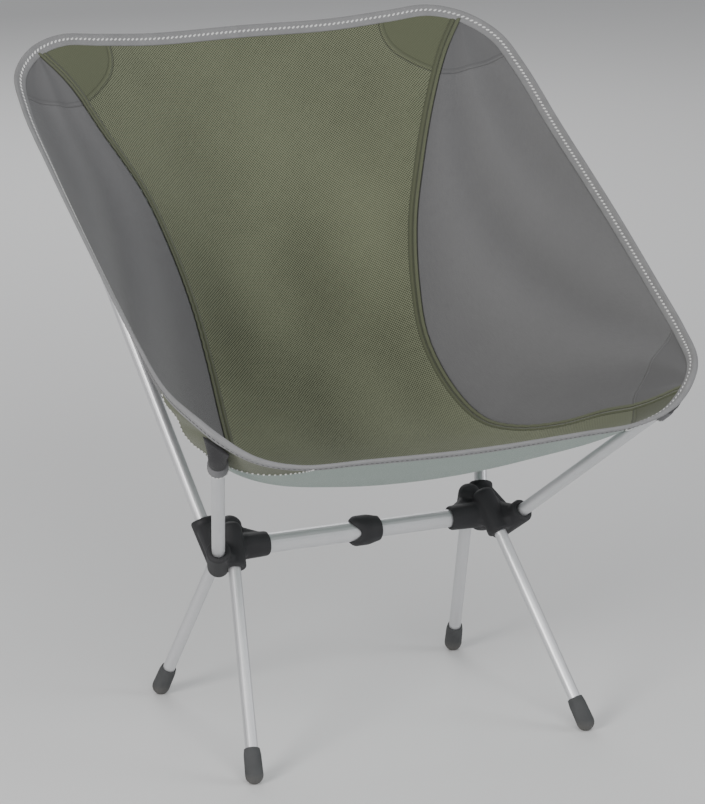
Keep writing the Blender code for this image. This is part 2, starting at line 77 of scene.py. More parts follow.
# ---- cloth
CLOTH = 0.0009
SEAT_GRID = (144, 240)  # cells across and along the middle panel
SIDE_GRID = (60, 190)
FOLDS = (  # across the diagonal of a side panel: place, width, height
    (-0.42, 0.16, -0.0040), (-0.16, 0.10, 0.0030), (0.06, 0.09, -0.0034), (0.26, 0.10, 0.0030),
    (0.50, 0.12, -0.0030),
)
FINE_FOLD_DEPTH = 0.0004
SEAT_WAVE_DEPTH = 0.0007
SEAT_WAVE_FULL_HIGHLIGHT = 0.0016  # height of a wave or fold painted in the lightest tone on its crest: painted highlight on crests, painted shade in troughs
# height of a fold on a side panel painted in the lightest tone on its crest, as painted highlight
SIDE_FOLD_FULL_HIGHLIGHT = 0.0045
SEAT_PAINTED_LIGHT = (0.66, 0.12, 0.9)  # painted light on the seat, a lighter band: its place along the seat, width and strength; the front patches are painted darker by the same strength
SEAM_SHADE = (1.1, 0.030)  # how much darker a side panel is beside its seam, and how far
PUCKER_DEPTH = 0.0005
PUCKER_PITCH = 0.011
PUCKER_REACH = 0.030
TAPE_WIDTH = 0.0135
TAPE_THICKNESS = 0.0036
CORNER_SWELL = 0.75  # the tape is thicker over the layers at the front corners
CORNER_REACH = 0.050
RIM_STEPS = 560
BAND_WIDTH = 0.0095  # the felled seam between the panels
BAND_HEIGHT = 0.0007
BAND_CLOTH = 0.0008
BAND_STEPS = 260
NEEDLE_LINES = (0.0044, 0.0091)  # the band's rows of stitches, from the seam
SEAT_WEAVE = 0.60  # how far the middle panel's open weave reaches down from the top edge
PLAIN_BLEND = 0.06
PLAIN_TONE = 0.60
STITCH_PITCH = 0.0050
STITCH_LENGTH = 0.0042
STITCH_WIDTH = 0.0021
STITCH_TILT = math.radians(34)
NEEDLE_PITCH = 0.0030
NEEDLE_LENGTH = 0.0023
NEEDLE_WIDTH = 0.0006
# painted shade in the pressed lines of the patches and the seam band
CREASE_SHADE_COLOUR = (30, 31, 26)
# colour of the painted shadow line along the seam
SEAM_SHADOW_COLOUR = (16, 17, 15)
SEAM_SHADOW_LINE = (0.0, 0.0016)  # place and half width of the painted shadow line along the seam

# Corner patches under the cloth: share of the top or front edge, share of the seam, roundness
BACK_PATCH = (0.37, 0.095, 1.7)
FRONT_PATCH = (0.37, 0.107, 1.15)
PATCH_CLOTH = 0.0008
PATCH_GAP = 0.0003
PATCH_RISE = 0.0006  # how much a patch lifts the cloth over it
PATCH_GRID = (30, 24)
PATCH_START = 0.12  # a patch starts a little way in from the tape
PATCH_STITCH_PITCH = 0.0042
PATCH_ROWS = (("seat", 0.115), ("side", 0.085))  # how long the two parts of a patch's row are
PATCH_OUTER_LINE = (-0.0002, 0.0010)
PATCH_RIDGE = (0.0022, 0.0016)
PATCH_INNER_LINE = (0.0048, 0.0009)

# ---- pockets, from the pole's end
POCKET_WALL = 0.0011
POCKET_ROOM = 0.0012
FRONT_POCKET_SLEEVE = 0.0045
BACK_POCKET_SLEEVE = 0.020
POCKET_HALF_WIDTH = 0.0150
MOUTH_TAPE = 0.0150
MOUTH_TAPE_BULGE = 0.0013
MOUTH_STITCHES = 18
MOUTH_STITCH_SIZE = (0.0030, 0.0011, 0.0009)
POCKET_STEPS = 40

# ---- mouldings
SOCKET_DEPTH = 0.028
SOCKET_GAP = 0.0003
MOUTH_FLARE = 0.0010
HUB_VOXEL = 0.0008
HUB_SMOOTHING = 20
COUPLER_RADIUS = 0.0155
COUPLER_SCOOP = 0.0085
COUPLER_STEPS = 72
SHARP_EDGE = math.radians(50)

# ---- studio
CAMERA_TURN = math.radians(-24.49)
CAMERA_RISE = math.radians(15.283)
CAMERA_DISTANCE = 4.095
CAMERA_TARGET_Z = 0.35
CAMERA_LENS = 186.34
CAMERA_SHIFT = (-0.0081, -0.0368)
WORLD_COLOUR = (0.93, 0.94, 0.96, 1.0)
WORLD_STRENGTH = 0.38
FLOOR_COLOUR = (0.80, 0.80, 0.80, 1.0)
FLOOR_HALF_WIDTH = 25
FLOOR_DROP = 0.0005
LIGHT_TARGET = (0, 0, 0.35)
LIGHTS = (  # name, size, watts, place, colour
    ("key", 1.2, 74, (-3.0, -1.7, 1.6), (1.0, 0.985, 0.965)),
    ("fill", 1.6, 32, (2.9, -1.9, 1.3), (0.97, 0.985, 1.0)),
    ("front", 2.0, 50, (-0.5, -3.0, 2.3), (1.0, 1.0, 1.0)),
    ("back", 1.8, 26, (0.6, 2.8, 1.9), (1.0, 1.0, 1.0)),
)


# ---- lines and frames

def mirror(points, side):
    """Points of the right half as they are, side 1, or on the left, side -1."""
    return np.asarray(points) * (side, 1, 1)


def unit(vectors):
    """Vectors scaled to length 1."""
    return vectors / np.linalg.norm(vectors, axis=-1, keepdims=True)


def smooth_points(points, mirrored_ends):
    """Centripetal Catmull-Rom curve through points; mirrored ends cross X = 0 squarely."""
    points = np.array(points, float)
    if mirrored_ends:
        ends = mirror(points[1], -1), mirror(points[-2], -1)
    else:
        ends = 2 * points[0] - points[1], 2 * points[-1] - points[-2]
    line = np.vstack([ends[0], points, ends[1]])
    knots = np.cumsum([0, *np.sqrt(np.linalg.norm(np.diff(line, axis=0), axis=1))])
    result = []
    for i in range(1, len(line) - 2):
        for step in range(SPLINE_STEPS):
            t = knots[i] + (knots[i + 1] - knots[i]) * step / SPLINE_STEPS
            level = list(line[i - 1:i + 3])
            for width in (1, 2, 3):
                for j in range(4 - width):
                    a, b = knots[i - 1 + j], knots[i - 1 + j + width]
                    if width == 3:
                        a, b = knots[i], knots[i + 1]
                    level[j] = level[j] + (level[j + 1] - level[j]) * (t - a) / (b - a)
            result.append(level[0])
    return np.vstack([result, points[-1]]) + (0, CROSSBAR_Y, 0)


class Line:
    """A line through points, read at shares of its length from 0 to 1."""

    def __init__(self, points):
        self.points = np.asarray(points)
        steps = np.linalg.norm(np.diff(self.points, axis=0), axis=1)
        self.length = steps.sum()
        self.shares = np.cumsum([0, *steps]) / self.length

    def at(self, share):
        columns = [np.interp(share, self.shares, column) for column in self.points.T]
        return np.stack(columns, axis=-1)

    def direction(self, share):
        share = np.asarray(share)
        return unit(self.at(share + 0.012) - self.at(share - 0.012))


RIM_POINTS = smooth_points(RIM, True)
BACK_CORNER = SEAM_START * SPLINE_STEPS
FRONT_CORNER = SEAM_END * SPLINE_STEPS
TOP_EDGE = Line(RIM_POINTS[:BACK_CORNER + 1])
SIDE_EDGE = Line(RIM_POINTS[BACK_CORNER:FRONT_CORNER + 1])
FRONT_EDGE = Line(RIM_POINTS[:FRONT_CORNER - 1:-1])
SEAM_LINE = Line(smooth_points((RIM[SEAM_START],) + SEAM + (RIM[SEAM_END],), False))
MIDDLE_LINE = Line(smooth_points(MIDDLE, False))


def hung(a, v):
    """The middle panel before its ends are fitted to the sling's edge, a from 0 to 1 across."""
    middle, seam = MIDDLE_LINE.at(v), SEAM_LINE.at(v)
    point = middle + (seam - middle) * (a * a)[..., None]
    point[..., 0] = seam[..., 0] * a
    return point


def seat_point(u, v):
    """Middle panel: u from -1 to 1 across, v from the top edge to the front edge."""
    u, v = np.broadcast_arrays(np.asarray(u, float), np.asarray(v, float))
    a = np.abs(u)
    top_miss = TOP_EDGE.at(a) - hung(a, v * 0)
    front_miss = FRONT_EDGE.at(a) - hung(a, v * 0 + 1)
    point = hung(a, v) + top_miss * ((1 - v) ** 3)[..., None] + front_miss * (v ** 3)[..., None]
    point[..., 0] *= np.where(u < 0, -1, 1)
    return point


def side_point(w, v):
    """Right side panel: w from the seam to the edge, v from the back to the front."""
    w, v = np.broadcast_arrays(np.asarray(w, float), np.asarray(v, float))
    seam, rim = SEAM_LINE.at(v), SIDE_EDGE.at(v)
    outward = np.cross(SIDE_EDGE.direction(v), rim - seam)
    outward = outward / np.maximum(np.linalg.norm(outward, axis=-1, keepdims=True), 1e-6)
    outward *= np.where(outward[..., :1] < 0, -1, 1)
    swell = SIDE_BULGE * 4 * w * (1 - w) * np.sin(np.pi * v)
    return seam + (rim - seam) * w[..., None] + outward * swell[..., None]


def grid_normals(grid):
    """Unit normals of a grid of points, on the sitter's side."""
    down, across = np.gradient(grid, axis=0), np.gradient(grid, axis=1)
    normals = np.cross(down, across)
    normals /= np.maximum(np.linalg.norm(normals, axis=-1, keepdims=True), 1e-12)
    middle = grid[len(grid) // 2, grid.shape[1] // 2]
    sitter = np.array((0.0, CROSSBAR_Y - 0.06, 0.62))
    facing = normals[len(grid) // 2, grid.shape[1] // 2] @ (sitter - middle)
    return normals if facing > 0 else -normals


# ---- meshes

def grid_faces(rows, columns, start=0):
    """Quads of a grid of points that are numbered from start."""
    i = np.arange(rows - 1)[:, None]
    j = np.arange(columns - 1)[None, :]
    a = start + i * columns + j
    b = a + columns
    return np.stack([a, a + 1, b + 1, b], axis=-1).reshape(-1, 4).tolist()


def ring_faces(rings, count, closed=True):
    """Quads between rings of count points; closed joins the last ring to the first."""
    faces = []
    for i in range(rings if closed else rings - 1):
        a, b = i * count, (i + 1) % rings * count
        for j in range(count):
            k = (j + 1) % count
            faces.append([a + j, a + k, b + k, b + j])
    return faces


def closed_mesh(name, points, faces):
    """Mesh of points and faces, with every face turned outward."""
    mesh = bpy.data.meshes.new(name)
    mesh.from_pydata(np.asarray(points).tolist(), [], faces)
    bm = bmesh.new()
    bm.from_mesh(mesh)
    bmesh.ops.recalc_face_normals(bm, faces=bm.faces)
    bm.to_mesh(mesh)
    bm.free()
    return mesh


def add_object(name, data):
    """New object in the scene."""
    thing = bpy.data.objects.new(name, data)
    bpy.context.scene.collection.objects.link(thing)
    return thing


def add_piece(name, points, faces, finishes, cloth=None, finish_of_face=None, marks=None,
              body="sling"):
    """A closed smooth mesh that rides on a body. cloth is the weave's position, in metres, and
    marks each point's distances from a patch's line and the seam, and its painted light and shade."""
    mesh = closed_mesh(name, points, faces)
    for finish in finishes:
        mesh.materials.append(FINISHES[finish])
    if finish_of_face is not None:
        mesh.polygons.foreach_set("material_index", finish_of_face)
    for label, values in (("cloth", cloth), ("marks", marks)):
        if values is not None:
            attribute = mesh.attributes.new(label, "FLOAT_VECTOR", "POINT")
            attribute.data.foreach_set("vector", np.asarray(values, np.float32).ravel())
    mesh.shade_smooth()
    piece = add_object(name, mesh)
    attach(piece, body)
    return piece


def cloth_lengths(grid):
    """Position of every grid point on the flat cloth, in metres, from the grid's middle."""
    across = np.zeros(grid.shape[:2])
    across[:, 1:] = np.cumsum(np.linalg.norm(np.diff(grid, axis=1), axis=-1), axis=1)
    across -= across[:, grid.shape[1] // 2][:, None]
    down = np.zeros(len(grid))
    middle = grid[:, grid.shape[1] // 2]
    down[1:] = np.cumsum(np.linalg.norm(np.diff(middle, axis=0), axis=-1))
    down = np.repeat(down[:, None], grid.shape[1], axis=1)
    return np.stack([across, down, across * 0], axis=-1)


def add_cloth(name, grid, thickness, top, under, marks=None):
    """Thin cloth from a grid of points on its upper face; the underside has its own finish."""
    rows, columns = grid.shape[:2]
    lower = grid - grid_normals(grid) * thickness
    points = np.vstack([grid.reshape(-1, 3), lower.reshape(-1, 3)])
    count = rows * columns
    upper_faces = grid_faces(rows, columns)
    lower_faces = [face[::-1] for face in grid_faces(rows, columns, count)]
    index = np.arange(count).reshape(rows, columns)
    border = [*index[0], *index[1:, -1], *index[-1, -2::-1], *index[-2:0:-1, 0]]
    hem = [[int(a), int(b), int(b) + count, int(a) + count]
           for a, b in zip(border, border[1:] + border[:1])]
    kinds = [0] * len(upper_faces) + [1] * (len(lower_faces) + len(hem))
    weave = cloth_lengths(grid).reshape(-1, 3)
    faces = upper_faces + lower_faces + hem
    weave = np.vstack([weave, weave])
    if marks is not None:
        marks = np.vstack([marks.reshape(-1, 3)] * 2)
    return add_piece(name, points, faces, [top, under], weave, kinds, marks)


def add_swept(name, line, across, normal, outline, swell, finish):
    """An outline of (across, normal) offsets swept round a closed line with a frame at every point.
    swell makes it thicker, point by point."""
    outline = np.asarray(outline)
    count = len(outline)
    rise = normal[:, None] * outline[None, :, 1:] * swell[:, None, None]
    points = line[:, None] + across[:, None] * outline[None, :, :1] + rise
    reach = np.cumsum([0, *np.linalg.norm(np.diff(line, axis=0), axis=1)])
    loop = np.vstack([outline, outline[:1]])
    around = np.cumsum([0, *np.linalg.norm(np.diff(loop, axis=0), axis=1)])[:-1]
    cloth = np.zeros(points.shape)
    cloth[..., 0] = around[None, :]
    cloth[..., 1] = reach[:, None]
    faces = ring_faces(len(line), count)
    return add_piece(name, points.reshape(-1, 3), faces, [finish], cloth.reshape(-1, 3))


def grain(steps=6, rings=4):
    """Points and faces of a small rounded stitch: 1 long in x, and 1 wide and high."""
    points = [(-0.5, 0, 0)]
    for i in range(1, rings):
        angle = math.pi * i / rings
        radius = math.sin(angle) ** 0.6 / 2
        for j in range(steps):
            turn = math.tau * j / steps
            points.append((-math.cos(angle) / 2, radius * math.cos(turn), radius * math.sin(turn)))
    points.append((0.5, 0, 0))
    last = len(points) - 1
    faces = []
    for j in range(steps):
        k = (j + 1) % steps
        faces.append([0, 1 + k, 1 + j])
        for i in range(rings - 2):
            a, b = 1 + i * steps, 1 + (i + 1) * steps
            faces.append([a + j, a + k, b + k, b + j])
        faces.append([last - steps + j, last - steps + k, last])
    return np.array(points), faces


def add_stitches(name, centres, along, normals, size, tilt, finish):
    """One small rounded stitch at every centre, turned by tilt from the row's direction."""
    length, width, height = size
    base, base_faces = grain()
    across = np.cross(normals, along)
    x = along * math.cos(tilt) + across * math.sin(tilt)
    y = np.cross(normals, x)
    points = (
        centres[:, None] + x[:, None] * base[None, :, :1] * length
        + y[:, None] * base[None, :, 1:2] * width + normals[:, None] * base[None, :, 2:] * height
    )
    faces = []
    for i in range(len(centres)):
        start = i * len(base)
        faces += [[start + k for k in face] for face in base_faces]
    return add_piece(name, points.reshape(-1, 3), faces, [finish])


def even_shares(count):
    """Shares from 0 to 1 in the middles of count equal steps."""
    return (np.arange(count) + 0.5) / count


# ---- finishes

def srgb(red, green, blue):
    """Linear colour from display values 0 to 255."""
    linear = [((c / 255 + 0.055) / 1.055) ** 2.4 for c in (red, green, blue)]
    return (*linear, 1.0)


class Finish:
    """A Principled material built node by node."""

    def __init__(self, name, **sockets):
        self.material = bpy.data.materials.new(name)
        self.material.use_nodes = True
        self.tree = self.material.node_tree
        self.shader = self.tree.nodes["Principled BSDF"]
        for socket, value in sockets.items():
            self.shader.inputs[socket.replace("_", " ")].default_value = value

    def node(self, kind, inputs=None, **settings):
        """New shader node; an input is another node's socket or a value."""
        node = self.tree.nodes.new("ShaderNode" + kind)
        for name, value in settings.items():
            setattr(node, name, value)
        for socket, value in (inputs or {}).items():
            if isinstance(value, bpy.types.NodeSocket):
                self.tree.links.new(value, node.inputs[socket])
            else:
                node.inputs[socket].default_value = value
        return node

    def math(self, operation, a, b=0.0, clamp=False):
        inputs = {0: a, 1: b}
        return self.node("Math", inputs, operation=operation, use_clamp=clamp).outputs[0]

    def plus(self, a, b, clamp=False):
        return self.math("ADD", a, b, clamp)

    def minus(self, a, b):
        return self.math("SUBTRACT", a, b)

    def times(self, a, b, clamp=False):
        return self.math("MULTIPLY", a, b, clamp)

    def mix(self, share, a, b):
        """Colour from a at share 0 to b at share 1."""
        return self.node("Mix", {0: share, 6: a, 7: b}, data_type="RGBA").outputs[2]

    def ramp(self, value, low, high, start=0.0, end=1.0, smooth=False):
        """Maps low to high onto start to end."""
        inputs = {"Value": value, "From Min": low, "From Max": high, "To Min": start, "To Max": end}
        kind = "SMOOTHSTEP" if smooth else "LINEAR"
        return self.node("MapRange", inputs, interpolation_type=kind).outputs[0]

    def spread(self, value, low, high):
        """Maps 0 to 1 onto low to high."""
        return self.ramp(value, 0.0, 1.0, low, high)

    def cloth(self):
        """The weave's place on the flat cloth, as separate x and y in metres."""
        place = self.node("Attribute", attribute_name="cloth").outputs["Vector"]
        parts = self.node("SeparateXYZ", {0: place})
        return place, parts.outputs[0], parts.outputs[1]

    def marks(self):
        """Distances from the nearest patch's line and the seam, in metres, and the painted light and
        shade, -1 to 1.
        """
        marks = self.node("Attribute", attribute_name="marks").outputs["Vector"]
        parts = self.node("SeparateXYZ", {0: marks})
        return parts.outputs[0], parts.outputs[1], parts.outputs[2]

    def stripe(self, distance, centre, half_width):
        """1 on a line at a distance, falling to 0 at half its width."""
        away = self.math("ABSOLUTE", self.minus(distance, centre))
        return self.ramp(away, 0.0, half_width, 1.0, 0.0, smooth=True)

    def object_place(self):
        """The place on the object, in metres."""
        return self.node("TexCoord").outputs["Object"]

    def noise(self, place, scale, detail=2.0, stretch=None):
        """Cloudy noise, 0 to 1, drawn out where stretch is small."""
        if stretch is not None:
            place = self.node("Mapping", {"Vector": place, "Scale": stretch}).outputs[0]
        inputs = {"Vector": place, "Scale": scale, "Detail": detail}
        return self.node("TexNoise", inputs).outputs[0]

    def thread_wave(self, coordinate, period):
        """Sine along a coordinate, -1 to 1."""
        return self.math("SINE", self.times(coordinate, math.tau / period))

    def colour(self, socket):
        self.tree.links.new(socket, self.shader.inputs["Base Color"])

    def roughness(self, socket):
        self.tree.links.new(socket, self.shader.inputs["Roughness"])

    def bump(self, height, depth, strength=1.0, normal=None):
        """Raises the surface by depth metres where height is 1, on top of another bump's normal."""
        inputs = {"Height": height, "Distance": depth, "Strength": strength}
        if normal is not None:
            inputs["Normal"] = normal
        socket = self.node("Bump", inputs).outputs[0]
        self.tree.links.new(socket, self.shader.inputs["Normal"])
        return socket


def woven_finish(name, dark, light, period, depth, roughness, lined=0.0, doubled=None, plain_from=9.0):
    """Plain weave of two thread colours, with slow shifts of tone across the cloth, and painted light
    and shade from its marks. lined is how strongly the lines of the patches and the seam, pressed in
    by sewing, show on it, as dents with painted shade and a painted highlight on the ridge beside
    them; the seam also gets a painted shadow line. doubled is its colour where a patch backs it.
    From plain_from metres down the cloth, and over a patch, its threads lie so close that the weave
    hardly shows."""
    finish = Finish(name, Roughness=roughness, Sheen_Weight=0.15, Sheen_Roughness=0.5,
                    Specular_IOR_Level=0.25)
    place, x, y = finish.cloth()
    warp = finish.thread_wave(x, period)
    weft = finish.thread_wave(y, period)
    check = finish.math("MULTIPLY_ADD", finish.times(warp, weft), 0.75)
    slub = finish.noise(place, 900, 1.0, stretch=(1.0, 0.12, 1.0))
    height = finish.plus(check, finish.times(slub, 0.35))
    tone = finish.noise(place, 22, 3.0)
    share = finish.plus(height, finish.spread(tone, -0.1, 0.1), clamp=True)
    colour = finish.mix(share, dark, light)
    if not lined:
        finish.colour(colour)
        finish.bump(height, depth, 0.6)
        return finish.material
    patch, seam, painted_light = finish.marks()
    inside = finish.ramp(patch, 0.0, 0.003)
    dense = finish.math("MAXIMUM", inside, finish.ramp(y, plain_from, plain_from + PLAIN_BLEND))
    dense = finish.times(dense, 0.8)
    share = finish.plus(share, finish.times(dense, finish.minus(PLAIN_TONE, share)))
    height = finish.times(height, finish.minus(1.0, dense))
    # Painted light and shade from the marks make the cloth's colour lighter or darker.
    lit_share = finish.plus(share, finish.times(painted_light, 0.25), clamp=True)
    colour = finish.mix(lit_share, dark, light)
    outer = finish.stripe(patch, *PATCH_OUTER_LINE)
    inner = finish.times(finish.stripe(patch, *PATCH_INNER_LINE), 0.5)
    ridge = finish.times(finish.stripe(patch, *PATCH_RIDGE), lined)
    seam_shadow = finish.stripe(seam, *SEAM_SHADOW_LINE)
    lines = finish.times(finish.math("MAXIMUM", outer, inner), lined)
    colour = finish.mix(finish.times(inside, 0.55), colour, doubled)
    # Painted highlight on the ridge between a patch's lines.
    colour = finish.mix(finish.times(ridge, 0.22), colour, light)
    # Painted shade in the pressed lines.
    colour = finish.mix(finish.times(lines, 0.60), colour, srgb(*CREASE_SHADE_COLOUR))
    # Painted shadow line along the seam.
    finish.colour(finish.mix(finish.times(seam_shadow, 0.85), colour, srgb(*SEAM_SHADOW_COLOUR)))
    woven = finish.bump(height, depth, 0.6)
    finish.bump(finish.minus(ridge, lines), 0.0012, 0.8, woven)
    return finish.material


def moss_finish(name):
    """Open, coarse weave of the middle panel."""
    return woven_finish(name, srgb(28, 30, 22), srgb(124, 129, 105), 0.0030, 0.0006, 0.85, 0.8,
                        srgb(80, 84, 64), SEAT_WEAVE)


def moss_band_finish(name):
    """The same cloth's close weave, folded into the seams."""
    return woven_finish(name, srgb(72, 76, 59), srgb(104, 108, 87), 0.0015, 0.0002, 0.8, 0.85,
                        srgb(76, 80, 62))


def moss_patch_finish(name):
    """The same close weave on the corner patches, a little darker."""
    return woven_finish(name, srgb(68, 72, 55), srgb(100, 104, 83), 0.0015, 0.0002, 0.8)


def grey_finish(name):
    """Fine smooth weave of the side panels."""
    return woven_finish(name, srgb(82, 82, 83), srgb(120, 120, 121), 0.0011, 0.0002, 0.80, 0.55,
                        srgb(92, 92, 93))


def mint_finish(name):
    """Coated underside of the middle panel."""
    return woven_finish(name, srgb(124, 138, 132), srgb(152, 167, 160), 0.0013, 0.0002, 0.55)


def web_finish(name):
    """Heavy black cloth of the pockets."""
    return woven_finish(name, srgb(22, 22, 24), srgb(50, 50, 52), 0.0016, 0.0003, 0.78)


def tape_finish(name, dark, light):
    """Ribbed binding tape: fine ribs across it and slight wear on its raised parts."""
    finish = Finish(name, Roughness=0.75, Sheen_Weight=0.12, Sheen_Roughness=0.5,
                    Specular_IOR_Level=0.3)
    place, x, y = finish.cloth()
    ribs = finish.thread_wave(y, 0.0011)
    threads = finish.thread_wave(x, 0.0008)
    height = finish.plus(finish.times(ribs, 0.35), finish.times(threads, 0.15))
    tone = finish.noise(place, 60, 3.0)
    share = finish.plus(finish.spread(tone, 0.2, 0.8), finish.times(height, 0.4), clamp=True)
    finish.colour(finish.mix(share, dark, light))
    finish.bump(height, 0.0002, 0.5)
    return finish.material


def thread_finish(name, dark, light):
    """Twisted thread, with fine noise in its colour and bump for the twist."""
    finish = Finish(name, Roughness=0.6, Sheen_Weight=0.2)
    place = finish.object_place()
    twist = finish.noise(place, 2500, 1.0)
    finish.colour(finish.mix(finish.spread(twist, 0.1, 0.9), dark, light))
    finish.bump(twist, 0.0001, 0.4)
    return finish.material


def aluminium_finish():
    """Satin anodised tube: drawn lines, faint handling marks and a little uneven sheen."""
    finish = Finish("aluminium_tube", Metallic=0.8, Roughness=0.42)
    place = finish.object_place()
    cloudy = finish.noise(place, 18, 4.0)
    fine = finish.noise(place, 1400, 2.0)
    scuffs = finish.noise(place, 160, 5.0, stretch=(1.0, 1.0, 0.25))
    share = finish.plus(finish.times(cloudy, 0.6), finish.times(fine, 0.4))
    finish.colour(finish.mix(share, srgb(204, 205, 207), srgb(228, 228, 230)))
    blend = finish.plus(finish.times(scuffs, 0.5), finish.times(cloudy, 0.5))
    finish.roughness(finish.spread(blend, 0.34, 0.54))
    finish.bump(fine, 0.00004, 0.3)
    return finish.material


def nylon_finish(name, dark, light):
    """Glass-filled nylon: fine spark-eroded grain and cloudy shifts of tone."""
    finish = Finish(name, Roughness=0.58, Specular_IOR_Level=0.28)
    place = finish.object_place()
    grain_height = finish.noise(place, 1800, 2.0)
    cloudy = finish.noise(place, 40, 3.0)
    share = finish.plus(finish.times(cloudy, 0.7), finish.times(grain_height, 0.3))
    finish.colour(finish.mix(share, dark, light))
    finish.roughness(finish.spread(cloudy, 0.50, 0.68))
    finish.bump(grain_height, 0.00012, 0.5)
    return finish.material


def rubber_finish():
    """Soft rubber with dust worked into it towards the floor."""
    finish = Finish("dark_rubber", Roughness=0.75, Specular_IOR_Level=0.3)
    place = finish.object_place()
    height = finish.node("SeparateXYZ", {0: place}).outputs[2]
    specks = finish.noise(place, 900, 3.0)
    low = finish.ramp(height, 0.0, 0.012, 0.45, 0.0)
    dust = finish.times(low, specks, clamp=True)
    body = finish.mix(finish.noise(place, 60, 2.0), srgb(62, 63, 64), srgb(84, 85, 86))
    finish.colour(finish.mix(dust, body, srgb(150, 146, 138)))
    finish.bump(specks, 0.00015, 0.5)
    return finish.material


def cord_finish():
    """Braided cover of a shock cord, black with a light fleck."""
    finish = Finish("black_cord", Roughness=0.85)
    place = finish.object_place()
    braid = finish.node("TexVoronoi", {"Vector": place, "Scale": 900.0}).outputs["Distance"]
    finish.colour(finish.mix(braid, srgb(24, 24, 26), srgb(70, 70, 72)))
    finish.bump(braid, 0.0003, 0.6)
    return finish.material


FINISHES = {
    "moss": moss_finish("moss_cloth"),
    "moss_band": moss_band_finish("moss_seam"),
    "grey": grey_finish("grey_cloth"),
    "moss_patch": moss_patch_finish("moss_patch"),
    "mint": mint_finish("mint_underside"),
    "web": web_finish("black_web"),
    "tape": tape_finish("grey_tape", srgb(114, 114, 115), srgb(146, 146, 147)),
    "mouth_tape": tape_finish("pocket_tape", srgb(84, 84, 86), srgb(124, 124, 126)),
    "white_thread": thread_finish("white_thread", srgb(205, 206, 206), srgb(240, 240, 238)),
    "moss_thread": thread_finish("moss_thread", srgb(52, 55, 40), srgb(78, 82, 62)),
    "grey_thread": thread_finish("grey_thread", srgb(70, 70, 72), srgb(96, 96, 98)),
    "aluminium": aluminium_finish(),
    "nylon": nylon_finish("black_nylon", srgb(40, 40, 42), srgb(56, 56, 58)),
    "rubber": rubber_finish(),
    "cord": cord_finish(),
}


# ---- sling

def round_distance(a, b, shape):
    """Distance inside a corner's rounded line, metres; a runs along the edge and b along the seam."""
    width, length, power = shape
    a, b = np.maximum(a, 1e-6), np.maximum(b, 1e-6)
    reach = ((a / width) ** power + (b / length) ** power) ** (1 / power)
    rates = a ** (power - 1) / width ** power, b ** (power - 1) / length ** power
    slope = reach ** (1 - power) * np.hypot(*rates)
    return (1 - reach) / slope


def patch_shapes():
    """Width, length and roundness of the back and front patches on the middle panel, in metres."""
    back = (BACK_PATCH[0] * TOP_EDGE.length, BACK_PATCH[1] * SEAM_LINE.length, BACK_PATCH[2])
    front = (FRONT_PATCH[0] * FRONT_EDGE.length, FRONT_PATCH[1] * SEAM_LINE.length, FRONT_PATCH[2])
    return back, front


def seat_patch(u, v):
    """Distance inside the nearest corner patch on the middle panel."""
    back, front = patch_shapes()
    a = 1 - np.abs(u)
    at_back = round_distance(a * TOP_EDGE.length, v * SEAM_LINE.length, back)
    at_front = round_distance(a * FRONT_EDGE.length, (1 - v) * SEAM_LINE.length, front)
    return np.maximum(at_back, at_front)


def side_patch_lines(w):
    """Where the patches' lines cross the side panel, from the seam to the edge."""
    return 0.094 + 0.0265 * w ** 0.7, 1 - 0.1095 - 0.052 * (1 - (1 - w) ** 2.5)


def side_patch(w, v):
    """Distance inside the nearest corner patch on the side panel."""
    back, front = side_patch_lines(w)
    length = SEAM_LINE.length * (1 - w) + SIDE_EDGE.length * w
    return np.maximum(back - v, v - front) * length


def smooth_step(value, low, high):
    """0 below low, 1 above high and a soft rise between them."""
    share = np.clip((value - low) / (high - low), 0, 1)
    return share * share * (3 - 2 * share)


def seat_relief(u, v):
    """Height of the middle panel's soft waves, of the puckers beside its seams and of its patches."""
    waves = np.sin(9 * v + 3.1 * u) * np.sin(4.3 * u + 1.7) + 0.6 * np.sin(17 * v - 5 * u)
    calm = np.minimum(1, 4 * np.minimum(v, 1 - v)) * (1 - u ** 4)
    along = v * SEAM_LINE.length
    from_seam = (1 - np.abs(u)) * SEAM_LINE.at(v)[..., 0]
    ripple = np.sin(math.tau * along / PUCKER_PITCH + 2.5 * np.sin(31 * v))
    strength = np.exp(-from_seam / PUCKER_REACH * 2.2) * (0.35 + 0.65 * np.sin(np.pi * v) ** 2)
    uneven = 0.55 + 0.45 * np.sin(23 * v + 4 * u)
    lifted = PATCH_RISE * smooth_step(seat_patch(u, v), -0.001, 0.003)
    return SEAT_WAVE_DEPTH * waves * calm + PUCKER_DEPTH * ripple * strength * uneven + lifted


def side_relief(w, v):
    """Soft tension folds from the back corner down to the front one, and the patches' rise."""
    calm = np.sin(np.pi * np.clip(w, 0, 1)) ** 0.8 * np.sin(np.pi * np.clip(v, 0, 1)) ** 0.7
    diagonal = w - 0.10 - 0.80 * v
    height = 0.0
    for centre, width, depth in FOLDS:
        height = height + depth * np.exp(-((diagonal - centre) / width) ** 2)
    fine = np.sin(19 * diagonal + 3.0 * v) + 0.5 * np.sin(31 * diagonal - 5.0 * v)
    lifted = PATCH_RISE * smooth_step(side_patch(w, v), -0.001, 0.003)
    return (height + FINE_FOLD_DEPTH * fine) * calm + lifted


def on_cloth(panel, relief, a, b, drop):
    """Points on a panel's upper face with its relief, or drop metres under it."""
    step = 0.001
    across = panel(a + step, b) - panel(a - step, b)
    along = panel(a, np.minimum(b + step, 1)) - panel(a, np.maximum(b - step, 0))
    normal = unit(np.cross(across, along))
    normal = normal * np.where(normal[..., 2:] < 0, -1, 1)
    return panel(a, b) + normal * (relief(a, b) - drop)[..., None]


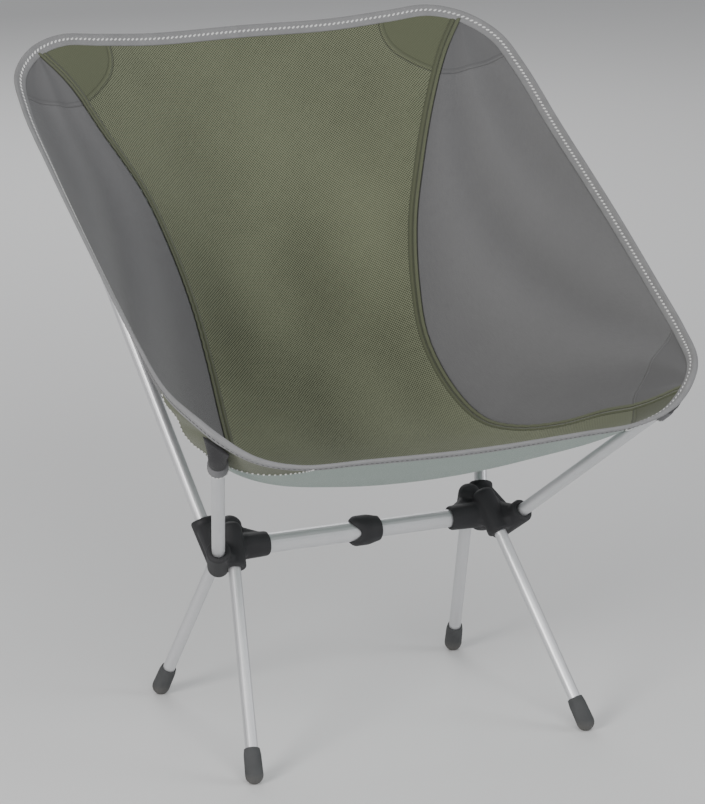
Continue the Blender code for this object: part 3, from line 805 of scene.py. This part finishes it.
def seat_at(u, v, drop=0.0):
    """Middle panel with its relief."""
    u, v = np.broadcast_arrays(np.asarray(u, float), np.asarray(v, float))
    return on_cloth(seat_point, seat_relief, u, v, drop)


def side_at(w, v, drop=0.0):
    """Right side panel with its relief."""
    w, v = np.broadcast_arrays(np.asarray(w, float), np.asarray(v, float))
    return on_cloth(side_point, side_relief, w, v, drop)


def build_seat():
    """Moss green middle panel, coated mint underneath."""
    across, along = SEAT_GRID
    u, v = np.meshgrid(np.linspace(-1, 1, across + 1), np.linspace(0, 1, along + 1))
    grid = seat_at(u, v)
    patch = seat_patch(u, v)
    # Painted light and shade on the seat: crests of its waves lighter and troughs darker, a painted
    # lighter band across it, and the front patches darker.
    centre, width, strength = SEAT_PAINTED_LIGHT
    painted_seat_band = strength * np.exp(-((v - centre) / width) ** 2)
    front_patch = -strength * (v > 0.5)
    painted_light = np.where(patch < 0, seat_relief(u, v) / SEAT_WAVE_FULL_HIGHLIGHT + painted_seat_band, front_patch)
    marks = np.stack([patch, patch * 0 + 1, np.clip(painted_light, -1, 1)], axis=-1)
    seat = add_cloth("seat_cloth", grid, CLOTH, "moss", "mint", marks)
    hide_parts("seat_panel")
    return seat, grid


def build_side(label, side):
    """Grey side panel."""
    across, along = SIDE_GRID
    w, v = np.meshgrid(np.linspace(0, 1, across + 1), np.linspace(0.0015, 0.9985, along + 1))
    seam = w * np.linalg.norm(SIDE_EDGE.at(v) - SEAM_LINE.at(v), axis=-1)
    # Painted light and shade on a side panel: crests of its folds lighter and troughs darker, painted
    # shade beside the seam and towards the front near the seam.
    strength, reach = SEAM_SHADE
    painted_light = side_relief(w, v) / SIDE_FOLD_FULL_HIGHLIGHT + 0.35 - strength * np.exp(-seam / reach)
    painted_light = painted_light - 0.6 * smooth_step(v, 0.55, 0.85) * smooth_step(0.9 - w, 0.0, 0.5)
    marks = np.stack([side_patch(w, v), seam, np.clip(painted_light, -1, 1)], axis=-1)
    grid = mirror(side_at(w, v), side)
    name = f"side_cloth_{label}"
    cloth = add_cloth(name, grid, CLOTH, "grey", "grey", marks)
    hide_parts(f"side_panel_{label}")
    return cloth, grid


def band_profile():
    """Felled seam: two low ridges with a needle line between them and one at its inner edge."""
    across = np.array([-0.5, -0.35, 0.2, 1.0, 2.3, 3.7, 4.4, 5.1, 6.5, 8.0, 9.1, 9.5]) / 9.5 * BAND_WIDTH
    height = np.array([0.3, 1.2, 1.7, 1.7, 1.35, 1.0, 0.25, 0.95, 1.05, 0.9, 0.3, -0.1]) * BAND_HEIGHT
    return across, height


def add_stitch_row(name, place, count, drop, size, tilt, finish):
    """A row of stitches along place(share, inset), which gives points on the cloth. drop is how
    far under the cloth's upper face the stitches lie, and 0 on the sitter's side."""
    share = even_shares(count)
    step = 0.25 / count
    centre = place(share, 0.0)
    along = unit(place(share + step, 0.0) - place(share - step, 0.0))
    toward = unit(place(share, 0.002) - centre)
    normal = unit(np.cross(toward, along))
    normal *= np.where(normal[:, 2:] < 0, -1, 1)
    centre = centre - normal * drop
    if drop > 0:
        normal = -normal
    centre = centre + normal * size[2] * 0.25
    return add_stitches(name, centre, along, normal, size, tilt, finish)


def build_seam(label, side):
    """The felled seam on the middle panel's edge, with its two rows of stitches."""
    across, height = band_profile()
    v = np.linspace(0.004, 0.996, BAND_STEPS)
    rate = SEAM_LINE.at(v)[:, :1]
    u = 1 - across[None, :] / rate
    surface = seat_at(u, v[:, None])
    top = surface + grid_normals(surface) * height[None, :, None]
    across = np.broadcast_to(across, u.shape)
    marks = np.stack([across - NEEDLE_LINES[0], across + 0.0006, across * 0], axis=-1)
    pieces = [add_cloth(f"seam_band_{label}", mirror(top, side), BAND_CLOTH, "moss_band", "moss_band",
                        marks)]
    count = int(SEAM_LINE.length * 0.98 / NEEDLE_PITCH)
    size = (NEEDLE_LENGTH, NEEDLE_WIDTH, NEEDLE_WIDTH)
    for row, inset in enumerate(NEEDLE_LINES):

        def place(share, more, inset=inset):
            v = 0.01 + 0.98 * share
            return mirror(seat_at(1 - (inset + more) / SEAM_LINE.at(v)[:, 0], v), side)

        pieces.append(add_stitch_row(f"seam_stitches_{row + 1}_{label}", place, count, 0.0, size, 0.0,
                                     "moss_thread"))
    return pieces


def rim_frames(steps):
    """Points along the whole edge, with their inward directions and upward normals."""
    lengths = np.array([TOP_EDGE.length, SIDE_EDGE.length, FRONT_EDGE.length])
    reach = np.linspace(0, lengths.sum(), steps // 2 + 1)
    points, inner = [], []
    near = 0.018
    for distance in reach:
        if distance <= lengths[0]:
            share = distance / lengths[0]
            points.append(TOP_EDGE.at(share))
            inner.append(seat_point(share, near))
        elif distance <= lengths[0] + lengths[1]:
            share = (distance - lengths[0]) / lengths[1]
            points.append(SIDE_EDGE.at(share))
            inner.append(side_point(1 - 4 * near, share))
        else:
            share = (lengths.sum() - distance) / lengths[2]
            points.append(FRONT_EDGE.at(share))
            inner.append(seat_point(share, 1 - near))
    half = np.array(points)
    inward = unit(np.array(inner) - half)
    line = np.vstack([half, mirror(half[-2:0:-1], -1)])
    inward = np.vstack([inward, mirror(inward[-2:0:-1], -1)])
    tangent = unit(np.roll(line, -1, axis=0) - np.roll(line, 1, axis=0))
    for _ in range(6):
        inward = unit(np.roll(inward, 1, axis=0) + 2 * inward + np.roll(inward, -1, axis=0))
    inward = unit(inward - tangent * (inward * tangent).sum(axis=1, keepdims=True))
    normal = np.cross(tangent, inward)
    normal *= np.where(normal[:, 2:].sum() < 0, -1, 1)
    return line, inward, normal, tangent


def tape_outline():
    """Tape folded round the cloth's edge, pressed in along its row of stitches."""
    half_width, half_height = TAPE_WIDTH / 2, TAPE_THICKNESS / 2
    a = np.array([-1.0, -0.96, -0.84, -0.6, -0.3, -0.12, 0.0, 0.12, 0.3, 0.6, 0.86, 0.97, 1.0])
    b = np.array([0.0, 0.55, 0.9, 1.0, 0.97, 0.85, 0.78, 0.85, 0.95, 0.93, 0.82, 0.66, 0.30])
    upper = np.stack([a * half_width, b * half_height], axis=1)
    lower = upper[-1:0:-1] * (1, -1)
    return np.vstack([upper, lower])


def build_binding():
    """Grey tape round the whole edge, with slanted stitches on both faces, white on top and grey
    underneath.
    """
    line, inward, normal, tangent = rim_frames(RIM_STEPS)
    folded = np.column_stack([np.abs(line[:, 0]), line[:, 1:]])
    from_corner = np.linalg.norm(folded - SIDE_EDGE.at(1.0), axis=1)
    swell = 1 + CORNER_SWELL * np.exp(-(from_corner / CORNER_REACH) ** 2)
    tape = add_swept("edge_tape", line, inward, normal, tape_outline(), swell, "tape")
    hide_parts("edge_binding")
    closed = Line(np.vstack([line, line[:1]]))
    share = even_shares(int(closed.length / STITCH_PITCH))

    def at_stitches(values):
        looped = np.concatenate([values, values[:1]]).reshape(len(line) + 1, -1)
        return np.stack([np.interp(share, closed.shares, column) for column in looped.T], axis=-1)

    up, along = unit(at_stitches(normal)), unit(at_stitches(tangent))
    size = (STITCH_LENGTH, STITCH_WIDTH, STITCH_WIDTH * 0.6)
    lift = TAPE_THICKNESS / 2 * 0.84 * at_stitches(swell)
    pieces = [tape]
    for name, way, thread in (("edge_stitches_top", 1, "white_thread"),
                              ("edge_stitches_under", -1, "grey_thread")):
        centres = closed.at(share) + up * lift * way
        pieces.append(add_stitches(name, centres, along, up * way, size, STITCH_TILT * way, thread))
    return pieces


def build_patch(end, label, side):
    """Corner patch sewn under the cloth: one part under the middle panel, one under the side."""
    at_back = end == "back"
    width, length, power = BACK_PATCH if at_back else FRONT_PATCH
    drop = CLOTH + PATCH_GAP

    def on_seat(turn, reach):
        a = width * reach * np.cos(turn) ** (2 / power)
        b = length * reach * np.sin(turn) ** (2 / power)
        return seat_at(1 - a, b if at_back else 1 - b, drop)

    def on_side(w, share):
        line = side_patch_lines(w)[0 if at_back else 1]
        return side_at(w, line * share if at_back else 1 - (1 - line) * share, drop)

    across, along = PATCH_GRID
    reach = np.linspace(PATCH_START, 1.0, along)
    turn, reach = np.meshgrid(np.linspace(0.001, math.pi / 2 - 0.001, across), reach)
    w, share = np.meshgrid(np.linspace(0, 0.97, across), reach[:, 0])
    pieces = []
    for part, grid in (("seat", on_seat(turn, reach)), ("side", on_side(w, share))):
        pieces.append(add_cloth(f"{end}_patch_{part}_{label}", mirror(grid, side), PATCH_CLOTH,
                                "moss_patch", "moss_patch"))

    def seat_row(t, more):
        turn = np.clip(t, 0.004, 0.996) * math.pi / 2
        return mirror(on_seat(turn, 0.97 - more * 8), side)

    def side_row(t, more):
        return mirror(on_side(t * 0.93 + 0.01, 0.97 - more * 8), side)

    size = (STITCH_LENGTH * 0.72, STITCH_WIDTH * 0.8, STITCH_WIDTH * 0.7)
    for (part, reach), row in zip(PATCH_ROWS, (seat_row, side_row)):
        count = int(reach / PATCH_STITCH_PITCH)
        pieces.append(add_stitch_row(f"{end}_patch_stitches_{part}_{label}", row, count,
                                     PATCH_CLOTH, size, 0.5, "white_thread"))
    return pieces


def tube_line(node, hub):
    """A straight tube's end nearest its hub, its way out from it, its length and its radius."""
    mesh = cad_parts[node].data
    points = np.array([v.co for v in mesh.vertices])
    middle = (points.min(axis=0) + points.max(axis=0)) / 2
    way = np.linalg.svd(points - points.mean(axis=0), full_matrices=False)[2][0]
    reach = (points - middle) @ way
    low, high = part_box(hub)
    from_hub = middle - (np.array(low) + np.array(high)) / 2
    if from_hub @ way < 0:
        way, reach = -way, -reach
    start = middle + way * reach.min()
    off_axis = points - middle - ((points - middle) @ way)[:, None] * way
    radius = np.linalg.norm(off_axis, axis=1).max()
    return start, way, reach.max() - reach.min(), radius


def ring_points(centre, x, y, half_x, half_y, steps=POCKET_STEPS):
    """Points of an oval round a centre, in the plane of x and y."""
    turn = np.arange(steps) * math.tau / steps
    return centre + np.cos(turn)[:, None] * x * half_x + np.sin(turn)[:, None] * y * half_y


def skin_rings(rings):
    """Closed mesh through rings of points, with a cap at each end."""
    count = len(rings[0])
    points = np.vstack(rings)
    faces = ring_faces(len(rings), count, closed=False)
    faces.append(list(range(count)))
    faces.append(list(range((len(rings) - 1) * count, len(rings) * count)))
    return points, faces


class PoleEnd:
    """The end of a pole, with the directions that its pocket is laid out in."""

    def __init__(self, pole, hub, edge):
        start, self.way, length, radius = tube_line(pole, hub)
        self.tip = start + self.way * length
        self.across = unit(edge - self.way * (edge @ self.way))
        self.facing = np.cross(self.way, self.across)
        self.room = radius + POCKET_ROOM
        self.wall = self.room + POCKET_WALL

    def ring(self, along, radius):
        """Round ring of points, along metres past the pole's end."""
        return ring_points(self.tip + self.way * along, self.across, self.facing, radius, radius)


def pocket_root(end, side):
    """Where a pocket is sewn on, under the edge tape: its middle and the way along the edge."""
    if end == "front":
        near, far, seam = SIDE_EDGE.at(0.968), FRONT_EDGE.at(0.952), SEAM_LINE.at(0.94)
    else:
        near, far, seam = SIDE_EDGE.at(0.035), TOP_EDGE.at(0.94), SEAM_LINE.at(0.06)
    edge = unit(near - far)
    middle = (near + far) / 2
    inward = unit(seam - middle)
    normal = unit(np.cross(edge, inward))
    normal *= 1 if normal[2] > 0 else -1
    root = middle + inward * 0.006 - normal * 0.0052
    return mirror(root, side), mirror(edge, side)


def sleeve_rings(pole, root, edge, sleeve):
    """Rings of a sleeve: inside from its closed top to its mouth, then outside up to its root."""
    dome = ((0.0085, 0.25), (0.0072, 0.72), (0.0040, 0.94), (0.0, 1.0), (-sleeve * 0.5, 1.0),
            (-sleeve, 1.0))
    rings = [pole.ring(along, pole.room * share) for along, share in dome]
    top = max(MOUTH_TAPE - sleeve, 0.002)
    rings += [pole.ring(along, pole.wall) for along in (-sleeve, -sleeve * 0.5, top)]
    neck = pole.tip + pole.way * (top + 0.003)
    hood = unit(root - neck)
    gap = np.linalg.norm(root - neck)
    flattening = ((0.2, 1.04, 0.96), (0.45, 1.20, 0.76), (0.7, 1.5, 0.45), (0.9, 1.68, 0.22),
                  (1.0, 1.75, 0.12))
    for share, half_x, half_y in flattening:
        bent = unit(pole.way * (1 - share) + hood * share)
        x = unit(pole.across * (1 - share) + edge * share)
        half = pole.wall + (POCKET_HALF_WIDTH - pole.wall) * (half_x - 1) / 0.75
        centre = neck + hood * gap * share
        rings.append(ring_points(centre, x, unit(np.cross(bent, x)), half, pole.wall * half_y))
    return rings


def wound_cloth(pole, rings, length):
    """The weave's place on cloth wound round a pole: round it, and along its rings."""
    turn = np.tile(np.arange(POCKET_STEPS) * pole.wall * math.tau / POCKET_STEPS, len(rings))
    reach = np.repeat(np.linspace(0, length, len(rings)), POCKET_STEPS)
    return turn, reach


def build_mouth(name, pole, sleeve):
    """Tape folded round a sleeve's mouth, with a ring of white stitches."""
    profile = ((0.0, 0.0), (-0.0012, 0.5), (0.0, 1.0), (0.25, 1.25), (0.5, 1.3), (0.75, 1.2),
               (1.0, 0.8), (1.02, 0.2))
    rings = [pole.ring(MOUTH_TAPE * t - sleeve, pole.wall - 0.0004 + MOUTH_TAPE_BULGE * bulge)
             for t, bulge in profile]
    rings.append(pole.ring(MOUTH_TAPE * 0.98 - sleeve, pole.wall - 0.0007))
    rings.append(pole.ring(0.0005 - sleeve, pole.room + 0.0001))
    turn, reach = wound_cloth(pole, rings, 0.028)
    faces = ring_faces(len(rings), POCKET_STEPS)
    tape = add_piece(f"{name}_mouth", np.vstack(rings), faces, ["mouth_tape"],
                     np.stack([reach, turn, turn * 0], axis=1))
    turns = np.arange(MOUTH_STITCHES) * math.tau / MOUTH_STITCHES
    out = np.cos(turns)[:, None] * pole.across + np.sin(turns)[:, None] * pole.facing
    centre = pole.tip + pole.way * (0.0012 - sleeve) + out * (pole.wall + MOUTH_TAPE_BULGE * 1.05)
    stitches = add_stitches(f"{name}_stitches", centre, unit(np.cross(pole.way, out)), out,
                            MOUTH_STITCH_SIZE, 0.3, "white_thread")
    return [tape, stitches]


def build_pocket(end, label, side, pole):
    """Black sleeve from the sling's corner down over a pole's end, with a bound mouth."""
    root, edge = pocket_root(end, side)
    pole = PoleEnd(pole, f"{label}_hub", edge)
    sleeve = FRONT_POCKET_SLEEVE if end == "front" else BACK_POCKET_SLEEVE
    rings = sleeve_rings(pole, root, edge, sleeve)
    points, faces = skin_rings(rings)
    turn, reach = wound_cloth(pole, rings, 0.09)
    name = f"{end}_pocket_{label}"
    pocket = add_piece(f"{name}_sleeve", points, faces, ["web"],
                       np.stack([turn, reach, turn * 0], axis=1))
    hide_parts(name)
    return [pocket] + build_mouth(name, pole, sleeve)


def build_sling():
    """The three panels, and all that is sewn to them."""
    seat, seat_grid = build_seat()
    trim = build_binding()
    for label, side in SIDES:
        trim += build_seam(label, side)
        trim += build_pocket("front", label, side, f"front_pole_{label}")
        trim += build_pocket("back", label, side, f"back_pole_upper_{label}")
        for end in ("front", "back"):
            trim += build_patch(end, label, side)
        cloth, grid = build_side(label, side)


# ---- frame pieces

def add_hull(bm, balls):
    """Convex skin round balls of (centre, radius)."""
    hull = bmesh.new()
    for centre, radius in balls:
        bmesh.ops.create_icosphere(hull, subdivisions=2, radius=radius, matrix=Matrix.Translation(centre))
    result = bmesh.ops.convex_hull(hull, input=hull.verts)
    inside = result["geom_interior"] + result["geom_unused"]
    spare = {item for item in inside if isinstance(item, bmesh.types.BMVert)}
    bmesh.ops.delete(hull, geom=list(spare), context="VERTS")
    mesh = bpy.data.meshes.new("hull")
    hull.to_mesh(mesh)
    hull.free()
    bm.from_mesh(mesh)
    bpy.data.meshes.remove(mesh)


def add_cutter(name, start, way, radius):
    """Round bore with a flared mouth, from a socket's floor out past the webs."""
    profile = [(-0.0004, radius), (SOCKET_DEPTH - 0.0012, radius), (SOCKET_DEPTH, radius + MOUTH_FLARE),
               (SOCKET_DEPTH + 0.03, radius + MOUTH_FLARE)]
    x = unit(np.cross(way, (0.3, 0.5, 0.8)))
    y = np.cross(way, x)
    points, faces = skin_rings([ring_points(start + way * t, x, y, r, r, 48) for t, r in profile])
    return add_object(name, closed_mesh(name, points, faces))


def hub_sockets(label):
    """The tubes in a hub's sockets, as tube_line gives them."""
    nodes = {
        "back_pole": f"back_pole_lower_{label}",
        "front_pole": f"front_pole_{label}",
        "front_leg": f"front_leg_{label}_tube",
        "rear_leg": f"rear_leg_{label}_tube",
    }
    return {socket: tube_line(node, f"{label}_hub") for socket, node in nodes.items()}


def hub_webs(sockets, side):
    """Webs of a hub, each the skin round three balls of (centre, radius)."""
    bar = np.array((0.0, CROSSBAR_Y, CROSSBAR_Z))
    floors = np.mean([start for start, _, _, _ in sockets.values()], axis=0)
    core = floors * 0.5 + (bar + (0.142 * side, 0.012, 0)) * 0.5

    def on(socket, depth):
        start, way, _, _ = sockets[socket]
        return start + way * depth

    collar = bar + (0.112 * side, 0, 0)
    collar_top = bar + (0.108 * side, 0.003, 0.0075)
    to_collar = unit(collar_top - on("back_pole", 0.022)) * 0.0065
    return (
        ((core, 0.0125), (on("back_pole", 0.022) + to_collar * 0.6, 0.0072), (collar_top, 0.0050)),
        ((core, 0.0125), (on("back_pole", 0.022), 0.0092), (on("front_pole", 0.004), 0.0100)),
        ((core, 0.0120), (on("front_pole", 0.020), 0.0085), (on("front_leg", 0.020), 0.0084)),
        ((core, 0.0120), (on("back_pole", 0.012), 0.0080), (on("rear_leg", 0.018), 0.0080)),
        ((core, 0.0110), (on("front_leg", 0.016), 0.0060), (collar, 0.0055)),
        ((core, 0.0110), (on("rear_leg", 0.016), 0.0060), (collar, 0.0055)),
        ((core, 0.0110), (on("rear_leg", 0.014), 0.0065), (on("front_leg", 0.014), 0.0065)),
    )


def hub_cutters(label, side, sockets):
    """Bores for the four tubes and the crossbar."""
    hub = f"{label}_hub"
    cutters = [add_cutter(f"{hub}_{socket}_bore", start, way, radius + SOCKET_GAP)
               for socket, (start, way, _, radius) in sockets.items()]
    bar_radius = tube_line(f"crossbar_{label}_tube", hub)[3]
    low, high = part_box(hub)
    mouth_x = low[0] if side > 0 else high[0]
    start = np.array((mouth_x + side * SOCKET_DEPTH, CROSSBAR_Y, CROSSBAR_Z))
    way = np.array((-side, 0.0, 0.0))
    cutters.append(add_cutter(f"{hub}_bar_bore", start, way, bar_radius + SOCKET_GAP))
    return cutters


def build_hub(label, side):
    """The moulded hub with its webs and soft fillets, bored again for every tube."""
    hub = f"{label}_hub"
    sockets = hub_sockets(label)
    bm = bmesh.new()
    bm.from_mesh(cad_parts[hub].data)
    for web in hub_webs(sockets, side):
        add_hull(bm, web)
    mesh = bpy.data.meshes.new(f"{hub}_rough")
    bm.to_mesh(mesh)
    bm.free()
    rough = add_object(f"{hub}_rough", mesh)
    fuse = rough.modifiers.new("fuse", "REMESH")
    fuse.mode = "VOXEL"
    fuse.voxel_size = HUB_VOXEL * 1
    smooth = rough.modifiers.new("smooth", "SMOOTH")
    smooth.factor = 0.6
    smooth.iterations = HUB_SMOOTHING // 1
    cutters = hub_cutters(label, side, sockets)
    for cutter in cutters:
        cut = rough.modifiers.new(cutter.name, "BOOLEAN")
        cut.operation = "DIFFERENCE"
        cut.object = cutter
        cut.solver = "EXACT"
    shaped = rough.evaluated_get(bpy.context.evaluated_depsgraph_get())
    final = bpy.data.meshes.new_from_object(shaped)
    final.name = f"{hub}_moulding"
    final.materials.clear()
    final.materials.append(FINISHES["nylon"])
    final.shade_smooth()
    final.set_sharp_from_angle(angle=SHARP_EDGE)
    for thing in [rough, *cutters]:
        bpy.data.objects.remove(thing)
    piece = add_object(f"{hub}_moulding", final)
    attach(piece, f"{label}_frame")
    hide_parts(hub)


def build_coupler():
    """Moulded collar where the crossbar's halves meet, scooped at its mouth, pinched in the middle."""
    wide = tube_line("crossbar_left_tube", "left_hub")[3] + SOCKET_GAP
    slim = tube_line("crossbar_right_tube", "right_hub")[3] + SOCKET_GAP
    length = COUPLER_HIGH[0] - COUPLER_LOW[0]
    joint = length * 0.70
    turn = np.arange(COUPLER_STEPS) * math.tau / COUPLER_STEPS
    mouth = COUPLER_SCOOP * np.abs(np.cos(turn)) ** 3
    rings = []

    def add_ring(x, radius):
        x, y, z = COUPLER_LOW[0] + x + turn * 0, -np.cos(turn) * radius, np.sin(turn) * radius
        rings.append(np.stack([x, CROSSBAR_Y + y, CROSSBAR_Z + z], axis=1))

    add_ring(mouth, wide)
    add_ring(joint, wide)
    add_ring(joint, slim)
    add_ring(length, slim)
    for share in np.linspace(1.0, 0.0, 26):
        x = mouth + (length - mouth) * share
        rise = 1 - (1 - np.clip((x - mouth) / 0.0075, 0, 1)) ** 2.2
        fall = smooth_step(length - x, 0.0, 0.0150)
        lip = np.sqrt(np.clip(1 - (1 - np.clip((length - x) / 0.0022, 0, 1)) ** 2, 0, 1))
        full = COUPLER_RADIUS - 0.0006 * np.abs(np.sin(2 * turn))
        swell = (full - wide - 0.0009) * rise * (0.34 + 0.66 * fall)
        radius = wide + 0.0009 + swell - 0.0016 * (1 - lip)
        waist = 0.0012 * np.abs(np.cos(turn)) ** 24 * np.sin(math.pi * share) ** 0.5
        add_ring(x, radius - waist)
    faces = ring_faces(len(rings), COUPLER_STEPS)
    piece = add_piece("coupler_moulding", np.vstack(rings), faces, ["nylon"],
                      body="left_frame")
    piece.data.set_sharp_from_angle(angle=SHARP_EDGE)
    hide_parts("crossbar_coupler")


def finish_cad_nodes():
    """Better materials for the CAD pieces that keep their shape."""
    for name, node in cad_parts.items():
        if "cord" in name:
            finish = FINISHES["cord"]
        elif "tip" in name or "plug" in name or "hub" in name or "coupler" in name:
            finish = FINISHES["nylon"]
        elif "foot_cap" in name:
            finish = FINISHES["rubber"]
        else:
            finish = FINISHES["aluminium"]
        node.data.materials.clear()
        node.data.materials.append(finish)


# ---- studio

def add_light(name, size, energy, place, colour):
    """Square soft light turned to the object."""
    light = bpy.data.lights.new(name, "AREA")
    light.shape = "RECTANGLE"
    light.size, light.size_y = size, size
    light.energy = energy
    light.color = colour
    lamp = add_object(name, light)
    lamp.location = place
    to_object = Vector(LIGHT_TARGET) - Vector(place)
    lamp.rotation_euler = to_object.to_track_quat("-Z", "Y").to_euler()


def build_studio():
    """Pale floor and surroundings with four soft lights."""
    world = bpy.data.worlds.new("studio")
    world.use_nodes = True
    background = world.node_tree.nodes["Background"]
    background.inputs["Color"].default_value = WORLD_COLOUR
    background.inputs["Strength"].default_value = WORLD_STRENGTH
    bpy.context.scene.world = world

    bm = bmesh.new()
    bmesh.ops.create_grid(bm, x_segments=2, y_segments=2, size=FLOOR_HALF_WIDTH)
    mesh = bpy.data.meshes.new("studio_floor")
    bm.to_mesh(mesh)
    bm.free()
    floor = add_object("studio_floor", mesh)
    floor.location.z = -FLOOR_DROP
    finish = Finish("studio_floor", Roughness=0.9, Base_Color=FLOOR_COLOUR)
    mesh.materials.append(finish.material)
    for light in LIGHTS:
        add_light(*light)


def build_camera():
    """Long lens from the front left, a little above the seat."""
    camera = bpy.data.cameras.new("camera")
    camera.lens = CAMERA_LENS
    camera.shift_x, camera.shift_y = CAMERA_SHIFT
    back = Vector((
        math.sin(CAMERA_TURN) * math.cos(CAMERA_RISE),
        -math.cos(CAMERA_TURN) * math.cos(CAMERA_RISE),
        math.sin(CAMERA_RISE),
    ))
    holder = add_object("camera", camera)
    target = Vector((0, CROSSBAR_Y, CAMERA_TARGET_Z))
    holder.location = target + back * CAMERA_DISTANCE
    holder.rotation_euler = back.to_track_quat("Z", "Y").to_euler()
    bpy.context.scene.camera = holder


build_camera()
build_studio()
finish_cad_nodes()
build_sling()
for hub_label, hub_side in SIDES:
    build_hub(hub_label, hub_side)
build_coupler()
